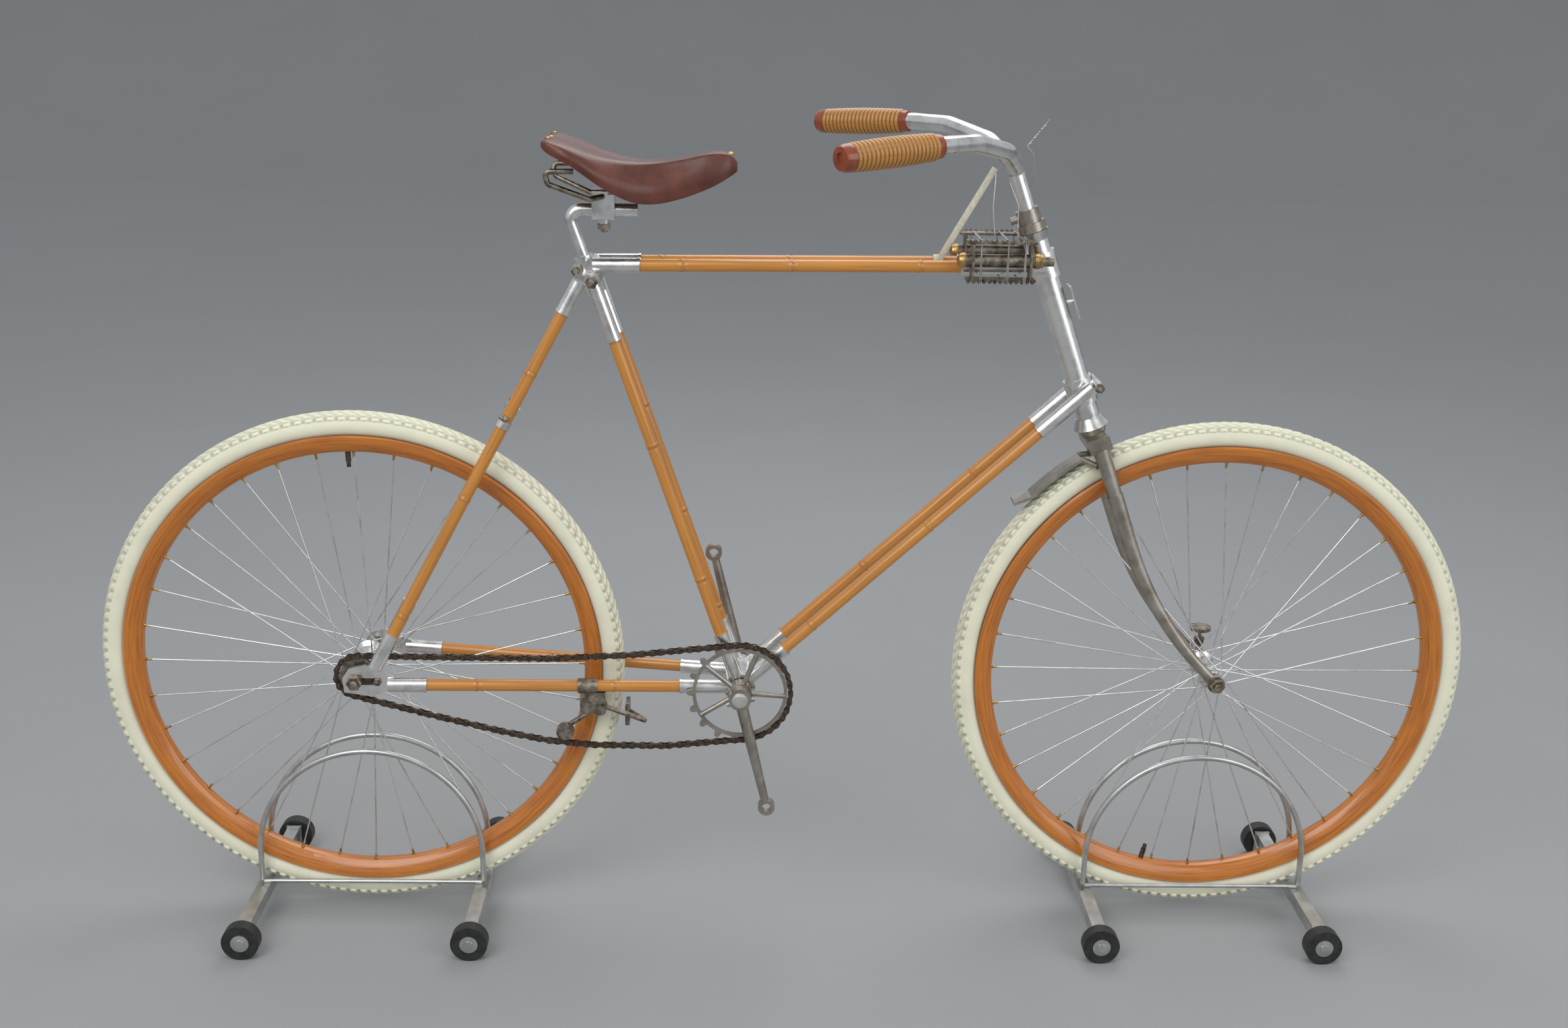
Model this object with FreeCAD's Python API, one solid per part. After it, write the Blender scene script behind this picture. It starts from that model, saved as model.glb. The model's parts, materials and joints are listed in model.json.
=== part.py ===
"""Bamboo bicycle on two rolling display stands.

Units are millimetres.  +X points to the front of the bicycle, +Y to its left and +Z up.
The chain is on the right, at negative Y.  The floor is z = 0 and the origin lies on it,
half way between the two wheel axles.
"""
import FreeCAD, Part
import math
import os

os.makedirs("parts", exist_ok=True)

Vector = FreeCAD.Vector

# ---------------------------------------------------------------- overall sizes
WHEELBASE = 1164.0
TYRE_RADIUS = 355.5          # 28 inch wheel over the tyre
TYRE_SECTION = 37.0
TYRE_LIFT = 12.5             # height of the tyres above the floor on the stands
HEAD_ANGLE = 70.0            # degrees from the ground
FORK_RAKE = 56.0

REAR_X = -WHEELBASE / 2
FRONT_X = WHEELBASE / 2
AXLE_Z = TYRE_RADIUS + TYRE_LIFT

# ---------------------------------------------------------------- frame points, from the rear axle
BRACKET_X, BRACKET_Z = 514.5, 348.7         # crank axle
CLUSTER_X, CLUSTER_Z = 320.0, 905.0         # bolt where the seat tubes meet the seat lug
TOP_TUBE_REAR_Z = 923.0
TOP_TUBE_RISE = 7.0
TOP_TUBE_SLEEVES = (380.0, 790.0)           # sleeve mouths of the seat lug and the head lug
DOWN_TUBE_HEAD_Z = 765.0                    # where the down tubes cross the steering axis
SEATSTAY_TOP = (303.0, 903.0)
SEATSTAY_FOOT = (20.0, 374.0)
CHAINSTAY_REAR_Z = 366.0

# ---------------------------------------------------------------- bamboo and lugs
BAMBOO_RADIUS = 8.0
SLEEVE_WALL = 1.6
SLEEVE_FIT = 0.1             # gap round a bamboo end in its sleeve
SOCKET_DEPTH = 36.0
SLEEVE_REACH = 83.0          # from a lug's centre to the mouth of its sleeve
SLEEVE_RADIUS = BAMBOO_RADIUS + SLEEVE_FIT + SLEEVE_WALL

TOP_TUBE_Y = 18.0
SEAT_TUBE_TOP_Y = 28.0
SEAT_TUBE_FOOT_Y = 30.0
DOWN_TUBE_FOOT_Y = 28.0
DOWN_TUBE_HEAD_Y = 27.0
CHAINSTAY_FRONT_Y = 29.5
CHAINSTAY_REAR_Y = 75.0
SEATSTAY_TOP_Y = 27.0
SEATSTAY_FOOT_Y = 68.0

# ---------------------------------------------------------------- fits
RUNNING_FIT = 0.05           # radial gap of a bearing
PRESS_GAP = 0.05             # gap of pieces driven or clamped on a shaft
SEAT_GAP = 0.3               # gap between curved pieces that rest on each other
CLEAR = 5.5                  # gap between pieces that pass each other

# ---------------------------------------------------------------- head and fork
HEAD_TUBE_RADIUS = 16.0
HEAD_TUBE_BORE = 14.0
HEAD_TUBE_FOOT, HEAD_TUBE_TOP = 405.0, 652.0        # distances along the steering axis
STEERER_RADIUS = 12.5
CROWN_FOOT, CROWN_TOP = 362.0, 382.0
CROWN_TANG_FOOT = 300.0
BLADE_TOP = CROWN_TANG_FOOT - SEAT_GAP
BLADE_BEND_START = 230.0
BLADE_TOP_Y = 33.0
BLADE_FOOT_Y = 50.0
STEM_RADIUS = 11.0
STEM_TOP = 752.0
BAR_RADIUS = 11.0

# ---------------------------------------------------------------- wheels
SPOKES = 36
SPOKE_RADIUS = 1.0
RIM_WIDTH = 36.0
RIM_INNER_RADIUS = 300.0
AXLE_RADIUS = 4.75
FRONT_CONE_RADIUS = 7.5
FRONT_FLANGE_Y, FRONT_FLANGE_RADIUS = 27.0, 17.0
REAR_FLANGE_Y, REAR_FLANGE_RADIUS = 28.0, 21.0

# ---------------------------------------------------------------- drive
HUB_END_RADIUS = 10.0
CHAIN_PITCH = 25.4
RING_TEETH = 17
SPROCKET_TEETH = 7
CHAIN_LINE_Y = -51.5
CHAIN_HEIGHT = 8.0
CHAIN_GAP = 5.0              # between the two rows of side plates
CHAIN_PLATE = 1.5
TOOTH_WIDTH = 4.0
RING_PITCH_RADIUS = CHAIN_PITCH / (2 * math.sin(math.pi / RING_TEETH))
SPROCKET_PITCH_RADIUS = CHAIN_PITCH / (2 * math.sin(math.pi / SPROCKET_TEETH))
CRANK_LENGTH = 165.5
CRANK_ANGLE = -76.6          # of the right crank, from +X
CRANK_Y = 69.7
CRANK_AXLE_RADIUS = 8.0
PEDAL_EYE_BORE = 6.35
PEDAL_EYE_RADIUS = 11.5
PEDAL_SPINDLE_RADIUS = 6.35
BRAKE_ROLLER = 12.0           # radius of the roller that rides on the lower run of the chain

# ---------------------------------------------------------------- stands
STAND_BAR = 18.0
STAND_HALF = 153.0           # from the wheel axle to each cross bar, along X
STAND_BAR_END = 141.0
ROLLER_RADIUS = 25.0
ROLLER_WIDTH = 18.0
ROLLER_Y = 153.0
ROLLER_BORE = 4.0
HOOP_ROD = 4.0
HOOP_TOP_Z = 250.0
HOOP_RADIUS = 155.0
RAIL_ROD = 3.0
HOOP_Y = TYRE_SECTION / 2 + CLEAR + HOOP_ROD
STAND_BAR_TOP = (AXLE_Z - SEAT_GAP
                 - math.sqrt(TYRE_RADIUS ** 2 - (STAND_HALF - STAND_BAR / 2) ** 2))


# ================================================================ helpers
def spot(x, y, z):
    """A point given from the rear axle along X, and from the floor."""
    return Vector(REAR_X + x, y, z)


STEER_UP = Vector(-math.cos(math.radians(HEAD_ANGLE)), 0, math.sin(math.radians(HEAD_ANGLE)))
STEER_AHEAD = Vector(math.sin(math.radians(HEAD_ANGLE)), 0, math.cos(math.radians(HEAD_ANGLE)))
STEER_FOOT = Vector(FRONT_X, 0, AXLE_Z) - STEER_AHEAD * FORK_RAKE


def steer(up, ahead=0.0, y=0.0):
    """A point given along the steering axis from the axle's height, and ahead of that axis."""
    return STEER_FOOT + STEER_UP * up + STEER_AHEAD * ahead + Vector(0, y, 0)


def rod(start, end, radius):
    """A round rod between two points."""
    run = end - start
    return Part.makeCylinder(radius, run.Length, start, run)


def cone(start, end, radius_start, radius_end):
    """A round rod that tapers between two points."""
    run = end - start
    return Part.makeCone(radius_start, radius_end, run.Length, start, run)


def box(x0, x1, y0, y1, z0, z1):
    """A box between limits."""
    return Part.makeBox(x1 - x0, y1 - y0, z1 - z0, Vector(x0, y0, z0))


def fuse(shapes):
    """One solid from several that overlap."""
    result = shapes[0].multiFuse(shapes[1:]) if len(shapes) > 1 else shapes[0]
    return result.removeSplitter()


def toward(start, end, distance):
    """The point at a distance from start on the way to end."""
    run = end - start
    return start + run * (distance / run.Length)


def spin(profile, centre):
    """A ring about the Y axis through centre, from (radius, y) points joined by straight lines."""
    points = [Vector(centre.x + radius, centre.y + y, centre.z) for radius, y in profile]
    face = Part.Face(Part.makePolygon(points + points[:1]))
    return face.revolve(centre, Vector(0, 1, 0), 360)


def wire_path(points, bend):
    """A wire through points with its corners rounded to the bend radius."""
    edges = []
    last = points[0]
    for before, corner, after in zip(points, points[1:], points[2:]):
        back = (before - corner).normalize()
        on = (after - corner).normalize()
        half = back.getAngle(on) / 2
        reach = bend / math.tan(half)
        start = corner + back * reach
        end = corner + on * reach
        middle_way = (back + on).normalize()
        middle = corner + middle_way * (bend / math.sin(half) - bend)
        edges.append(Part.LineSegment(last, start).toShape())
        edges.append(Part.Arc(start, middle, end).toShape())
        last = end
    edges.append(Part.LineSegment(last, points[-1]).toShape())
    return Part.Wire(edges)


def bent_rod(points, bend, radius):
    """A round rod that follows points, with rounded corners."""
    path = wire_path(points, bend)
    profile = Part.Wire(Part.makeCircle(radius, points[0], points[1] - points[0]))
    return path.makePipeShell([profile], True, False)


def mirror_y(shape):
    """The same piece on the other side of the bicycle."""
    return shape.mirror(Vector(0, 0, 0), Vector(0, 1, 0))


def both_sides(shape):
    """A right-hand piece and its left-hand twin."""
    return [shape, mirror_y(shape)]


NODES = {}


def node(name, shapes):
    """Keep the solids of one sub-part under its name."""
    solids = shapes if isinstance(shapes, list) else [shapes]
    NODES[name] = [solid for shape in solids for solid in shape.Solids]


# ================================================================ frame
BRACKET = spot(BRACKET_X, 0, BRACKET_Z)
CLUSTER = spot(CLUSTER_X, 0, CLUSTER_Z)
REAR_AXLE = Vector(REAR_X, 0, AXLE_Z)
FRONT_AXLE = Vector(FRONT_X, 0, AXLE_Z)


def on_side(point, y):
    """The same point moved to a given Y."""
    return Vector(point.x, y, point.z)


def steer_axis_at(z):
    """The point of the steering axis at a given height."""
    return steer((z - STEER_FOOT.z) / STEER_UP.z)


# Each run is the right-hand tube's line between the centres of its two lugs.
SEAT_RUN = (on_side(BRACKET, -SEAT_TUBE_FOOT_Y), on_side(CLUSTER, -SEAT_TUBE_TOP_Y))
DOWN_RUN = (on_side(BRACKET, -DOWN_TUBE_FOOT_Y),
            on_side(steer_axis_at(DOWN_TUBE_HEAD_Z), -DOWN_TUBE_HEAD_Y))
TOP_RUN = (spot(CLUSTER_X, -TOP_TUBE_Y, TOP_TUBE_REAR_Z),
           on_side(steer_axis_at(TOP_TUBE_REAR_Z + TOP_TUBE_RISE), -TOP_TUBE_Y))
CHAIN_RUN = (spot(0, -CHAINSTAY_REAR_Y, CHAINSTAY_REAR_Z), on_side(BRACKET, -CHAINSTAY_FRONT_Y))
STAY_RUN = (spot(SEATSTAY_FOOT[0], -SEATSTAY_FOOT_Y, SEATSTAY_FOOT[1]),
            spot(SEATSTAY_TOP[0], -SEATSTAY_TOP_Y, SEATSTAY_TOP[1]))


def run_mouths(run, from_start, from_end):
    """The two sleeve mouths of a tube run."""
    return toward(run[0], run[1], from_start), toward(run[1], run[0], from_end)


SEAT_MOUTHS = run_mouths(SEAT_RUN, SLEEVE_REACH, 82.0)
DOWN_MOUTHS = run_mouths(DOWN_RUN, SLEEVE_REACH, 76.0)
TOP_MOUTHS = run_mouths(TOP_RUN, TOP_TUBE_SLEEVES[0] - CLUSTER_X,
                        TOP_RUN[1].x - REAR_X - TOP_TUBE_SLEEVES[1])
CHAINSTAY_MOUTHS = run_mouths(CHAIN_RUN, 95.0, SLEEVE_REACH)
SEATSTAY_MOUTHS = run_mouths(STAY_RUN, 68.0, 46.0)


def bamboo(mouths):
    """A bamboo tube that reaches into the sleeves at both ends."""
    start, end = mouths
    reach = SOCKET_DEPTH - SEAT_GAP
    return rod(toward(start, end, -reach), toward(end, start, -reach), BAMBOO_RADIUS)


def socket(mouth, centre):
    """The bore that a bamboo end sits in."""
    return rod(mouth, toward(mouth, centre, SOCKET_DEPTH), BAMBOO_RADIUS + SLEEVE_FIT)


def sleeve(mouth, centre):
    """The outside of a lug's sleeve, with a small bead at its mouth."""
    bead = rod(mouth, toward(mouth, centre, 3.0), SLEEVE_RADIUS + 0.6)
    return fuse([rod(mouth, centre, SLEEVE_RADIUS), bead])


def frame_tubes():
    """The ten bamboo tubes."""
    node("top_tubes", both_sides(bamboo(TOP_MOUTHS)))
    node("seat_tubes", both_sides(bamboo(SEAT_MOUTHS)))
    node("down_tubes", both_sides(bamboo(DOWN_MOUTHS)))
    node("chainstays", both_sides(bamboo(CHAINSTAY_MOUTHS)))
    node("seatstays", both_sides(bamboo(SEATSTAY_MOUTHS)))


BRACKET_SHELL_RADIUS = 21.0
BRACKET_SHELL_HALF = 38.0


def bottom_bracket():
    """The cast shell round the crank axle, with six sleeves."""
    solids = [rod(on_side(BRACKET, -BRACKET_SHELL_HALF), on_side(BRACKET, BRACKET_SHELL_HALF),
                  BRACKET_SHELL_RADIUS)]
    bores = [rod(on_side(BRACKET, -60), on_side(BRACKET, 60), CRANK_AXLE_RADIUS + RUNNING_FIT)]
    for mouth, centre in ((SEAT_MOUTHS[0], SEAT_RUN[0]), (DOWN_MOUTHS[0], DOWN_RUN[0]),
                          (CHAINSTAY_MOUTHS[1], CHAIN_RUN[1])):
        solids += both_sides(sleeve(mouth, centre))
        bores += both_sides(socket(mouth, centre))
    node("bottom_bracket_lug", fuse(solids).cut(bores))


SEAT_POST_RADIUS = 8.0
SEAT_POST_LEAN = math.radians(70.5)
POST_UP = Vector(-math.cos(SEAT_POST_LEAN), 0, math.sin(SEAT_POST_LEAN))
POST_FOOT = spot(323.0, 0, 885.0)
POST_BEND_Z = 991.5
POST_END_X = 377.0
LUG_EYE_Y = 20.0
BOLT_INNER_Y = SEAT_POST_RADIUS + 1.0


def seat_lug():
    """The clamp round the seat post, with sleeves for the top tubes and seatstays."""
    collar_foot = POST_FOOT
    collar_top = POST_FOOT + POST_UP * 50
    cross = rod(on_side(CLUSTER, -LUG_EYE_Y), on_side(CLUSTER, LUG_EYE_Y), 11.0)
    solids = [rod(collar_foot, collar_top, 13.0), cross]
    binder = spot(298.0, 0, 914.0)
    solids.append(rod(on_side(binder, -12), on_side(binder, 12), 7.0))
    shoulder = rod(spot(STAY_RUN[1].x - REAR_X, -SEATSTAY_TOP_Y, STAY_RUN[1].z),
                   spot(STAY_RUN[1].x - REAR_X, SEATSTAY_TOP_Y, STAY_RUN[1].z), SLEEVE_RADIUS)
    solids.append(shoulder)
    solids += both_sides(sleeve(TOP_MOUTHS[0], TOP_RUN[0]))
    solids += both_sides(sleeve(SEATSTAY_MOUTHS[1], STAY_RUN[1]))
    yoke = rod(TOP_RUN[0], on_side(TOP_RUN[0], TOP_TUBE_Y), SLEEVE_RADIUS)
    solids.append(yoke)
    bores = both_sides(socket(TOP_MOUTHS[0], TOP_RUN[0]))
    bores += both_sides(socket(SEATSTAY_MOUTHS[1], STAY_RUN[1]))
    bores.append(rod(collar_foot - POST_UP * 20, collar_top + POST_UP * 5,
                     SEAT_POST_RADIUS + SLEEVE_FIT))
    bores.append(rod(on_side(CLUSTER, -40), on_side(CLUSTER, 40), 4.0 + SLEEVE_FIT))
    node("seat_lug", fuse(solids).cut(bores))

    eye = rod(on_side(CLUSTER, -LUG_EYE_Y - SEAT_GAP), on_side(CLUSTER, -LUG_EYE_Y - 16), 11.0)
    arm = fuse([eye, sleeve(SEAT_MOUTHS[1], SEAT_RUN[1])])
    arm = arm.cut([rod(on_side(CLUSTER, -LUG_EYE_Y - 30), CLUSTER, 4.0 + SLEEVE_FIT),
                   socket(SEAT_MOUTHS[1], SEAT_RUN[1]),
                   rod(on_side(CLUSTER, -LUG_EYE_Y - SEAT_GAP), on_side(CLUSTER, 0), 13.0),
                   rod(STAY_RUN[1], toward(STAY_RUN[1], STAY_RUN[0], 60), SLEEVE_RADIUS + 1.0),
                   rod(on_side(STAY_RUN[1], -60), on_side(STAY_RUN[1], 60), SLEEVE_RADIUS + SEAT_GAP),
                   rod(TOP_RUN[0], TOP_MOUTHS[0], SLEEVE_RADIUS + 1.0),
                   rod(on_side(TOP_RUN[0], -60), on_side(TOP_RUN[0], 60), SLEEVE_RADIUS + SEAT_GAP)])
    node("seat_tube_lugs", both_sides(max(arm.Solids, key=lambda solid: solid.Volume)))

    outer = SEAT_TUBE_TOP_Y + SLEEVE_RADIUS
    bolt = fuse([rod(on_side(CLUSTER, -outer - 6), on_side(CLUSTER, -BOLT_INNER_Y), 4.0),
                 rod(on_side(CLUSTER, -outer - 6), on_side(CLUSTER, -outer - SEAT_GAP), 7.5)])
    node("seat_bolts", both_sides(bolt))


def seat_post():
    """The bent seat post that leans back from the lug and runs forward under the saddle."""
    top_run = (POST_BEND_Z - POST_FOOT.z) / POST_UP.z
    corner = POST_FOOT + POST_UP * top_run
    end = Vector(REAR_X + POST_END_X, 0, POST_BEND_Z)
    node("seat_post", bent_rod([POST_FOOT - POST_UP * 10, corner, end], 14.0, SEAT_POST_RADIUS))


def head():
    """The head tube with its two lugs and the bearing cups."""
    tube = rod(steer(HEAD_TUBE_FOOT), steer(HEAD_TUBE_TOP), HEAD_TUBE_RADIUS)
    tube = tube.cut(rod(steer(HEAD_TUBE_FOOT - 5), steer(HEAD_TUBE_TOP + 5), HEAD_TUBE_BORE))
    node("head_tube", tube)

    hole = rod(steer(HEAD_TUBE_FOOT - 20), steer(HEAD_TUBE_TOP + 20), HEAD_TUBE_RADIUS + SLEEVE_FIT)
    low_centre = (DOWN_TUBE_HEAD_Z - STEER_FOOT.z) / STEER_UP.z
    nose = toward(DOWN_RUN[1], DOWN_RUN[0], -14.0)
    low = [rod(steer(low_centre - 17), steer(low_centre + 17), HEAD_TUBE_RADIUS + 3.5)]
    low += both_sides(sleeve(DOWN_MOUTHS[1], nose))
    bolt_place = steer(low_centre + 2, 23.0)
    low.append(rod(on_side(bolt_place, -30), on_side(bolt_place, 30), 5.5))
    low_lug = fuse(low).cut([hole] + both_sides(socket(DOWN_MOUTHS[1], nose)))
    node("lower_head_lug", low_lug)

    high_centre = (TOP_RUN[1].z - STEER_FOOT.z) / STEER_UP.z
    high = [rod(steer(high_centre - 17), steer(high_centre + 17), HEAD_TUBE_RADIUS + 3.5)]
    high += both_sides(sleeve(TOP_MOUTHS[1], TOP_RUN[1]))
    high_lug = fuse(high).cut([hole] + both_sides(socket(TOP_MOUTHS[1], TOP_RUN[1])))
    node("upper_head_lug", high_lug)

    cups = []
    for foot, top, foot_radius, top_radius in ((HEAD_TUBE_FOOT - 14, HEAD_TUBE_FOOT, 23.5, 17.0),
                                               (HEAD_TUBE_TOP, HEAD_TUBE_TOP + 12, 17.0, 19.5)):
        cup = cone(steer(foot), steer(top), foot_radius, top_radius)
        cups.append(cup.cut(rod(steer(foot - 5), steer(top + 5), STEERER_RADIUS + RUNNING_FIT)))
    node("headset_cups", cups)

    plate = box(-1.2, 1.2, -14, 14, -22, 22)
    lean = FreeCAD.Rotation(Vector(0, 1, 0), -(90 - HEAD_ANGLE))
    plate.Placement = FreeCAD.Placement(steer(560, HEAD_TUBE_RADIUS + 8.0), lean)
    strut = rod(steer(560, HEAD_TUBE_RADIUS), steer(560, HEAD_TUBE_RADIUS + 7.5), 3.0)
    strut = strut.cut(rod(steer(500), steer(620), HEAD_TUBE_RADIUS + PRESS_GAP))
    node("head_plate", fuse([plate, strut]))


DROPOUT_Y = 67.0
DROPOUT_THICK = 6.0
AXLE_SLOT = AXLE_RADIUS + 0.25


def dropouts():
    """The rear fork ends: a slotted plate with two sleeves, one on each side."""
    y0, y1 = -DROPOUT_Y - DROPOUT_THICK / 2, -DROPOUT_Y + DROPOUT_THICK / 2
    outline = [(-15, 352), (-17, 372), (-8, 386), (14, 392), (30, 384), (52, 374), (52, 357), (20, 347)]
    points = [spot(x, y0, z) for x, z in outline]
    plate = Part.Face(Part.makePolygon(points + points[:1])).extrude(Vector(0, y1 - y0, 0))
    slot = box(REAR_X, REAR_X + 32, y0 - 1, y1 + 1, AXLE_Z - AXLE_SLOT, AXLE_Z + AXLE_SLOT)
    slot = slot.fuse(rod(Vector(REAR_X, y0 - 1, AXLE_Z), Vector(REAR_X, y1 + 1, AXLE_Z), AXLE_SLOT))
    stay_foot = CHAIN_RUN[0] + (CHAIN_RUN[1] - CHAIN_RUN[0]).normalize() * 44
    solids = [plate, sleeve(CHAINSTAY_MOUTHS[0], stay_foot),
              sleeve(SEATSTAY_MOUTHS[0], toward(STAY_RUN[0], STAY_RUN[1], 14))]
    bores = [socket(CHAINSTAY_MOUTHS[0], stay_foot), socket(SEATSTAY_MOUTHS[0], STAY_RUN[0]), slot]
    fork_end = fuse(solids).cut(bores)
    node("rear_dropouts", both_sides(fork_end))


BRIDGE_DROP = 210.0


def stay_bridge():
    """The clamp bands on the seatstays and the bar between them."""
    centre = toward(STAY_RUN[1], STAY_RUN[0], BRIDGE_DROP)
    along = (STAY_RUN[0] - STAY_RUN[1]).normalize()
    band = rod(centre - along * 5, centre + along * 5, BAMBOO_RADIUS + 1.8)
    band = band.cut(rod(centre - along * 9, centre + along * 9, BAMBOO_RADIUS + SLEEVE_FIT))
    inner = on_side(centre, centre.y + BAMBOO_RADIUS + 0.8)
    # The bar bows away from the tyre between the two stays.
    bow = Vector(12, 0, 14)
    bar = bent_rod([inner, on_side(inner, -16) + bow, on_side(inner, 16) + bow,
                    on_side(inner, -inner.y)], 8.0, 3.5)
    tube_room = rod(centre - along * 20, centre + along * 20, BAMBOO_RADIUS + SLEEVE_FIT)
    node("stay_bridge", fuse(both_sides(band) + [bar.cut(both_sides(tube_room))]))


# ================================================================ saddle
def saddle_clamp():
    """The clamp that holds the saddle springs on the seat post."""
    x0, x1 = REAR_X + 319, REAR_X + 348
    body = box(x0, x1, -13, 13, POST_BEND_Z - 12, POST_BEND_Z + 26)
    body = body.makeFillet(3.0, [edge for edge in body.Edges if abs(edge.Length - (x1 - x0)) < 0.01])
    bore = rod(Vector(x0 - 5, 0, POST_BEND_Z), Vector(x1 + 5, 0, POST_BEND_Z),
               SEAT_POST_RADIUS + SLEEVE_FIT)
    foot = Vector((x0 + x1) / 2, 0, POST_BEND_Z - 11)
    nut = rod(foot, foot - Vector(0, 0, 14), 7.5)
    node("saddle_clamp", fuse([body, nut]).cut(bore))


SPRING_ROD = 3.5
SADDLE_SPRING_Y = 30.0


def saddle_springs():
    """Two hairpin springs and the two rails that carry the saddle."""
    shapes = []
    top = POST_BEND_Z + 18
    loop = [spot(333, -13, top), spot(318, -SADDLE_SPRING_Y, top - 2), spot(268, -48, top + 18),
            spot(264, -52, top + 34), spot(300, -50, top + 34.4)]
    shapes.append(bent_rod(loop, 6.0, SPRING_ROD))
    rail = [spot(340, -10, top + 4), spot(356, -12, top + 6), spot(440, -9, top + 12),
            spot(468, -7, top + 20)]
    shapes.append(bent_rod(rail, 8.0, SPRING_ROD))
    solids = []
    for shape in shapes:
        solids += both_sides(shape)
    clamp_room = box(REAR_X + 319 - SLEEVE_FIT, REAR_X + 348 + SLEEVE_FIT, -13 - SLEEVE_FIT,
                     13 + SLEEVE_FIT, POST_BEND_Z - 12, POST_BEND_Z + 26 + SLEEVE_FIT)
    node("saddle_springs", [solid.cut(clamp_room) for solid in solids])


SADDLE_SKIN = 5.0
SADDLE_STATIONS = (
    # x from the rear axle, top z, lower z, half width at the top, half width at the skirt
    (262.0, 1078.0, 1062.0, 66.0, 60.0),
    (300.0, 1079.0, 1048.0, 74.0, 74.0),
    (345.0, 1064.0, 1018.0, 56.0, 62.0),
    (385.0, 1059.0, 1006.0, 36.0, 44.0),
    (430.0, 1061.0, 1010.0, 24.0, 33.0),
    (470.0, 1067.0, 1021.0, 20.0, 26.0),
    (500.0, 1064.0, 1040.0, 12.0, 13.0),
)


def saddle_hollow():
    """The space under the leather, open below."""
    sections = []
    for x, top, low, half_top, half_low in SADDLE_STATIONS[1:-1]:
        wide = half_low - SADDLE_SKIN
        high = top - SADDLE_SKIN - 3
        points = [spot(x, -wide, low - 12), spot(x, -min(wide, half_top - 6), high),
                  spot(x, min(wide, half_top - 6), high), spot(x, wide, low - 12)]
        sections.append(Part.makePolygon(points + points[:1]))
    return Part.makeLoft(sections, True, True)


def saddle():
    """The leather top as a closed solid."""
    sections = []
    for x, top, low, half_top, half_low in SADDLE_STATIONS:
        points = [spot(x, -half_low, low), spot(x, -half_top, top - 8), spot(x, -half_top * 0.6, top),
                  spot(x, half_top * 0.6, top), spot(x, half_top, top - 8), spot(x, half_low, low)]
        sections.append(Part.makePolygon(points + points[:1]))
    top_solid = Part.makeLoft(sections, True, True)
    node("saddle", top_solid.cut(saddle_hollow()))


# ================================================================ wheels
def rim(centre):
    """The wooden rim: hollowed outside for the tyre and rounded inside."""
    half = RIM_WIDTH / 2
    tyre_centre = TYRE_RADIUS - TYRE_SECTION / 2
    bed = TYRE_SECTION / 2 + SEAT_GAP
    edge_half = 14.5
    edge_r = tyre_centre - math.sqrt(bed ** 2 - edge_half ** 2)

    def at(radius, y):
        return Vector(centre.x + radius, y, centre.z)

    edges = [Part.Arc(at(edge_r, -edge_half), at(tyre_centre - bed, 0), at(edge_r, edge_half)).toShape(),
             Part.LineSegment(at(edge_r, edge_half), at(edge_r - 2.5, half - 1)).toShape(),
             Part.Arc(at(edge_r - 2.5, half - 1), at(RIM_INNER_RADIUS + 9, half - 5),
                      at(RIM_INNER_RADIUS + 1.5, 7)).toShape(),
             Part.Arc(at(RIM_INNER_RADIUS + 1.5, 7), at(RIM_INNER_RADIUS, 0),
                      at(RIM_INNER_RADIUS + 1.5, -7)).toShape(),
             Part.Arc(at(RIM_INNER_RADIUS + 1.5, -7), at(RIM_INNER_RADIUS + 9, -half + 5),
                      at(edge_r - 2.5, -half + 1)).toShape(),
             Part.LineSegment(at(edge_r - 2.5, -half + 1), at(edge_r, -edge_half)).toShape()]
    return Part.Face(Part.Wire(edges)).revolve(centre, Vector(0, 1, 0), 360)


def tyre(centre):
    """The tyre as a plain ring whose outside is the crest of the tread."""
    return Part.makeTorus(TYRE_RADIUS - TYRE_SECTION / 2, TYRE_SECTION / 2, centre, Vector(0, 1, 0))


def spokes(centre, flange_y, flange_radius):
    """Tangent spokes from both flanges to the rim."""
    solids = []
    lead = math.radians(70)
    for index in range(SPOKES):
        side = -1 if index % 2 else 1
        turn = 2 * math.pi * index / SPOKES
        lean = lead if (index // 2) % 2 else -lead
        hub_end = centre + Vector((flange_radius - 3) * math.cos(turn + lean), side * (flange_y + 2.6),
                                  (flange_radius - 3) * math.sin(turn + lean))
        rim_end = centre + Vector(RIM_INNER_RADIUS * math.cos(turn), side * 2.5,
                                  RIM_INNER_RADIUS * math.sin(turn))
        solids.append(rod(hub_end, toward(rim_end, hub_end, 0.6), SPOKE_RADIUS))
    return solids


def hub(centre, flange_y, flange_radius, barrel, ends):
    """A hub turned from the bar: two flanges, a barrel and ends bored for the axle."""
    low_y, high_y = ends
    bore = AXLE_RADIUS + RUNNING_FIT
    profile = [(bore, low_y), (HUB_END_RADIUS, low_y),
               (HUB_END_RADIUS, -flange_y - 4), (11, -flange_y - 1.5),
               (flange_radius, -flange_y - 1.2), (flange_radius, -flange_y + 1.2),
               (barrel, -flange_y + 5), (barrel - 2, 0), (barrel, flange_y - 5),
               (flange_radius, flange_y - 1.2), (flange_radius, flange_y + 1.2),
               (11, flange_y + 1.5), (HUB_END_RADIUS, flange_y + 4),
               (HUB_END_RADIUS, high_y), (bore, high_y)]
    return spin(profile, centre)


def valve(centre, turn_degrees, length):
    """A valve stem that stands in from the rim."""
    turn = math.radians(turn_degrees)
    out = Vector(math.cos(turn), 0, math.sin(turn))
    root = centre + out * (RIM_INNER_RADIUS - SEAT_GAP)
    neck = centre + out * (RIM_INNER_RADIUS - length)
    stem = rod(root, neck, 3.6)
    tip = rod(neck, neck - out * 7, 2.8)
    return fuse([stem, tip])


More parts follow.
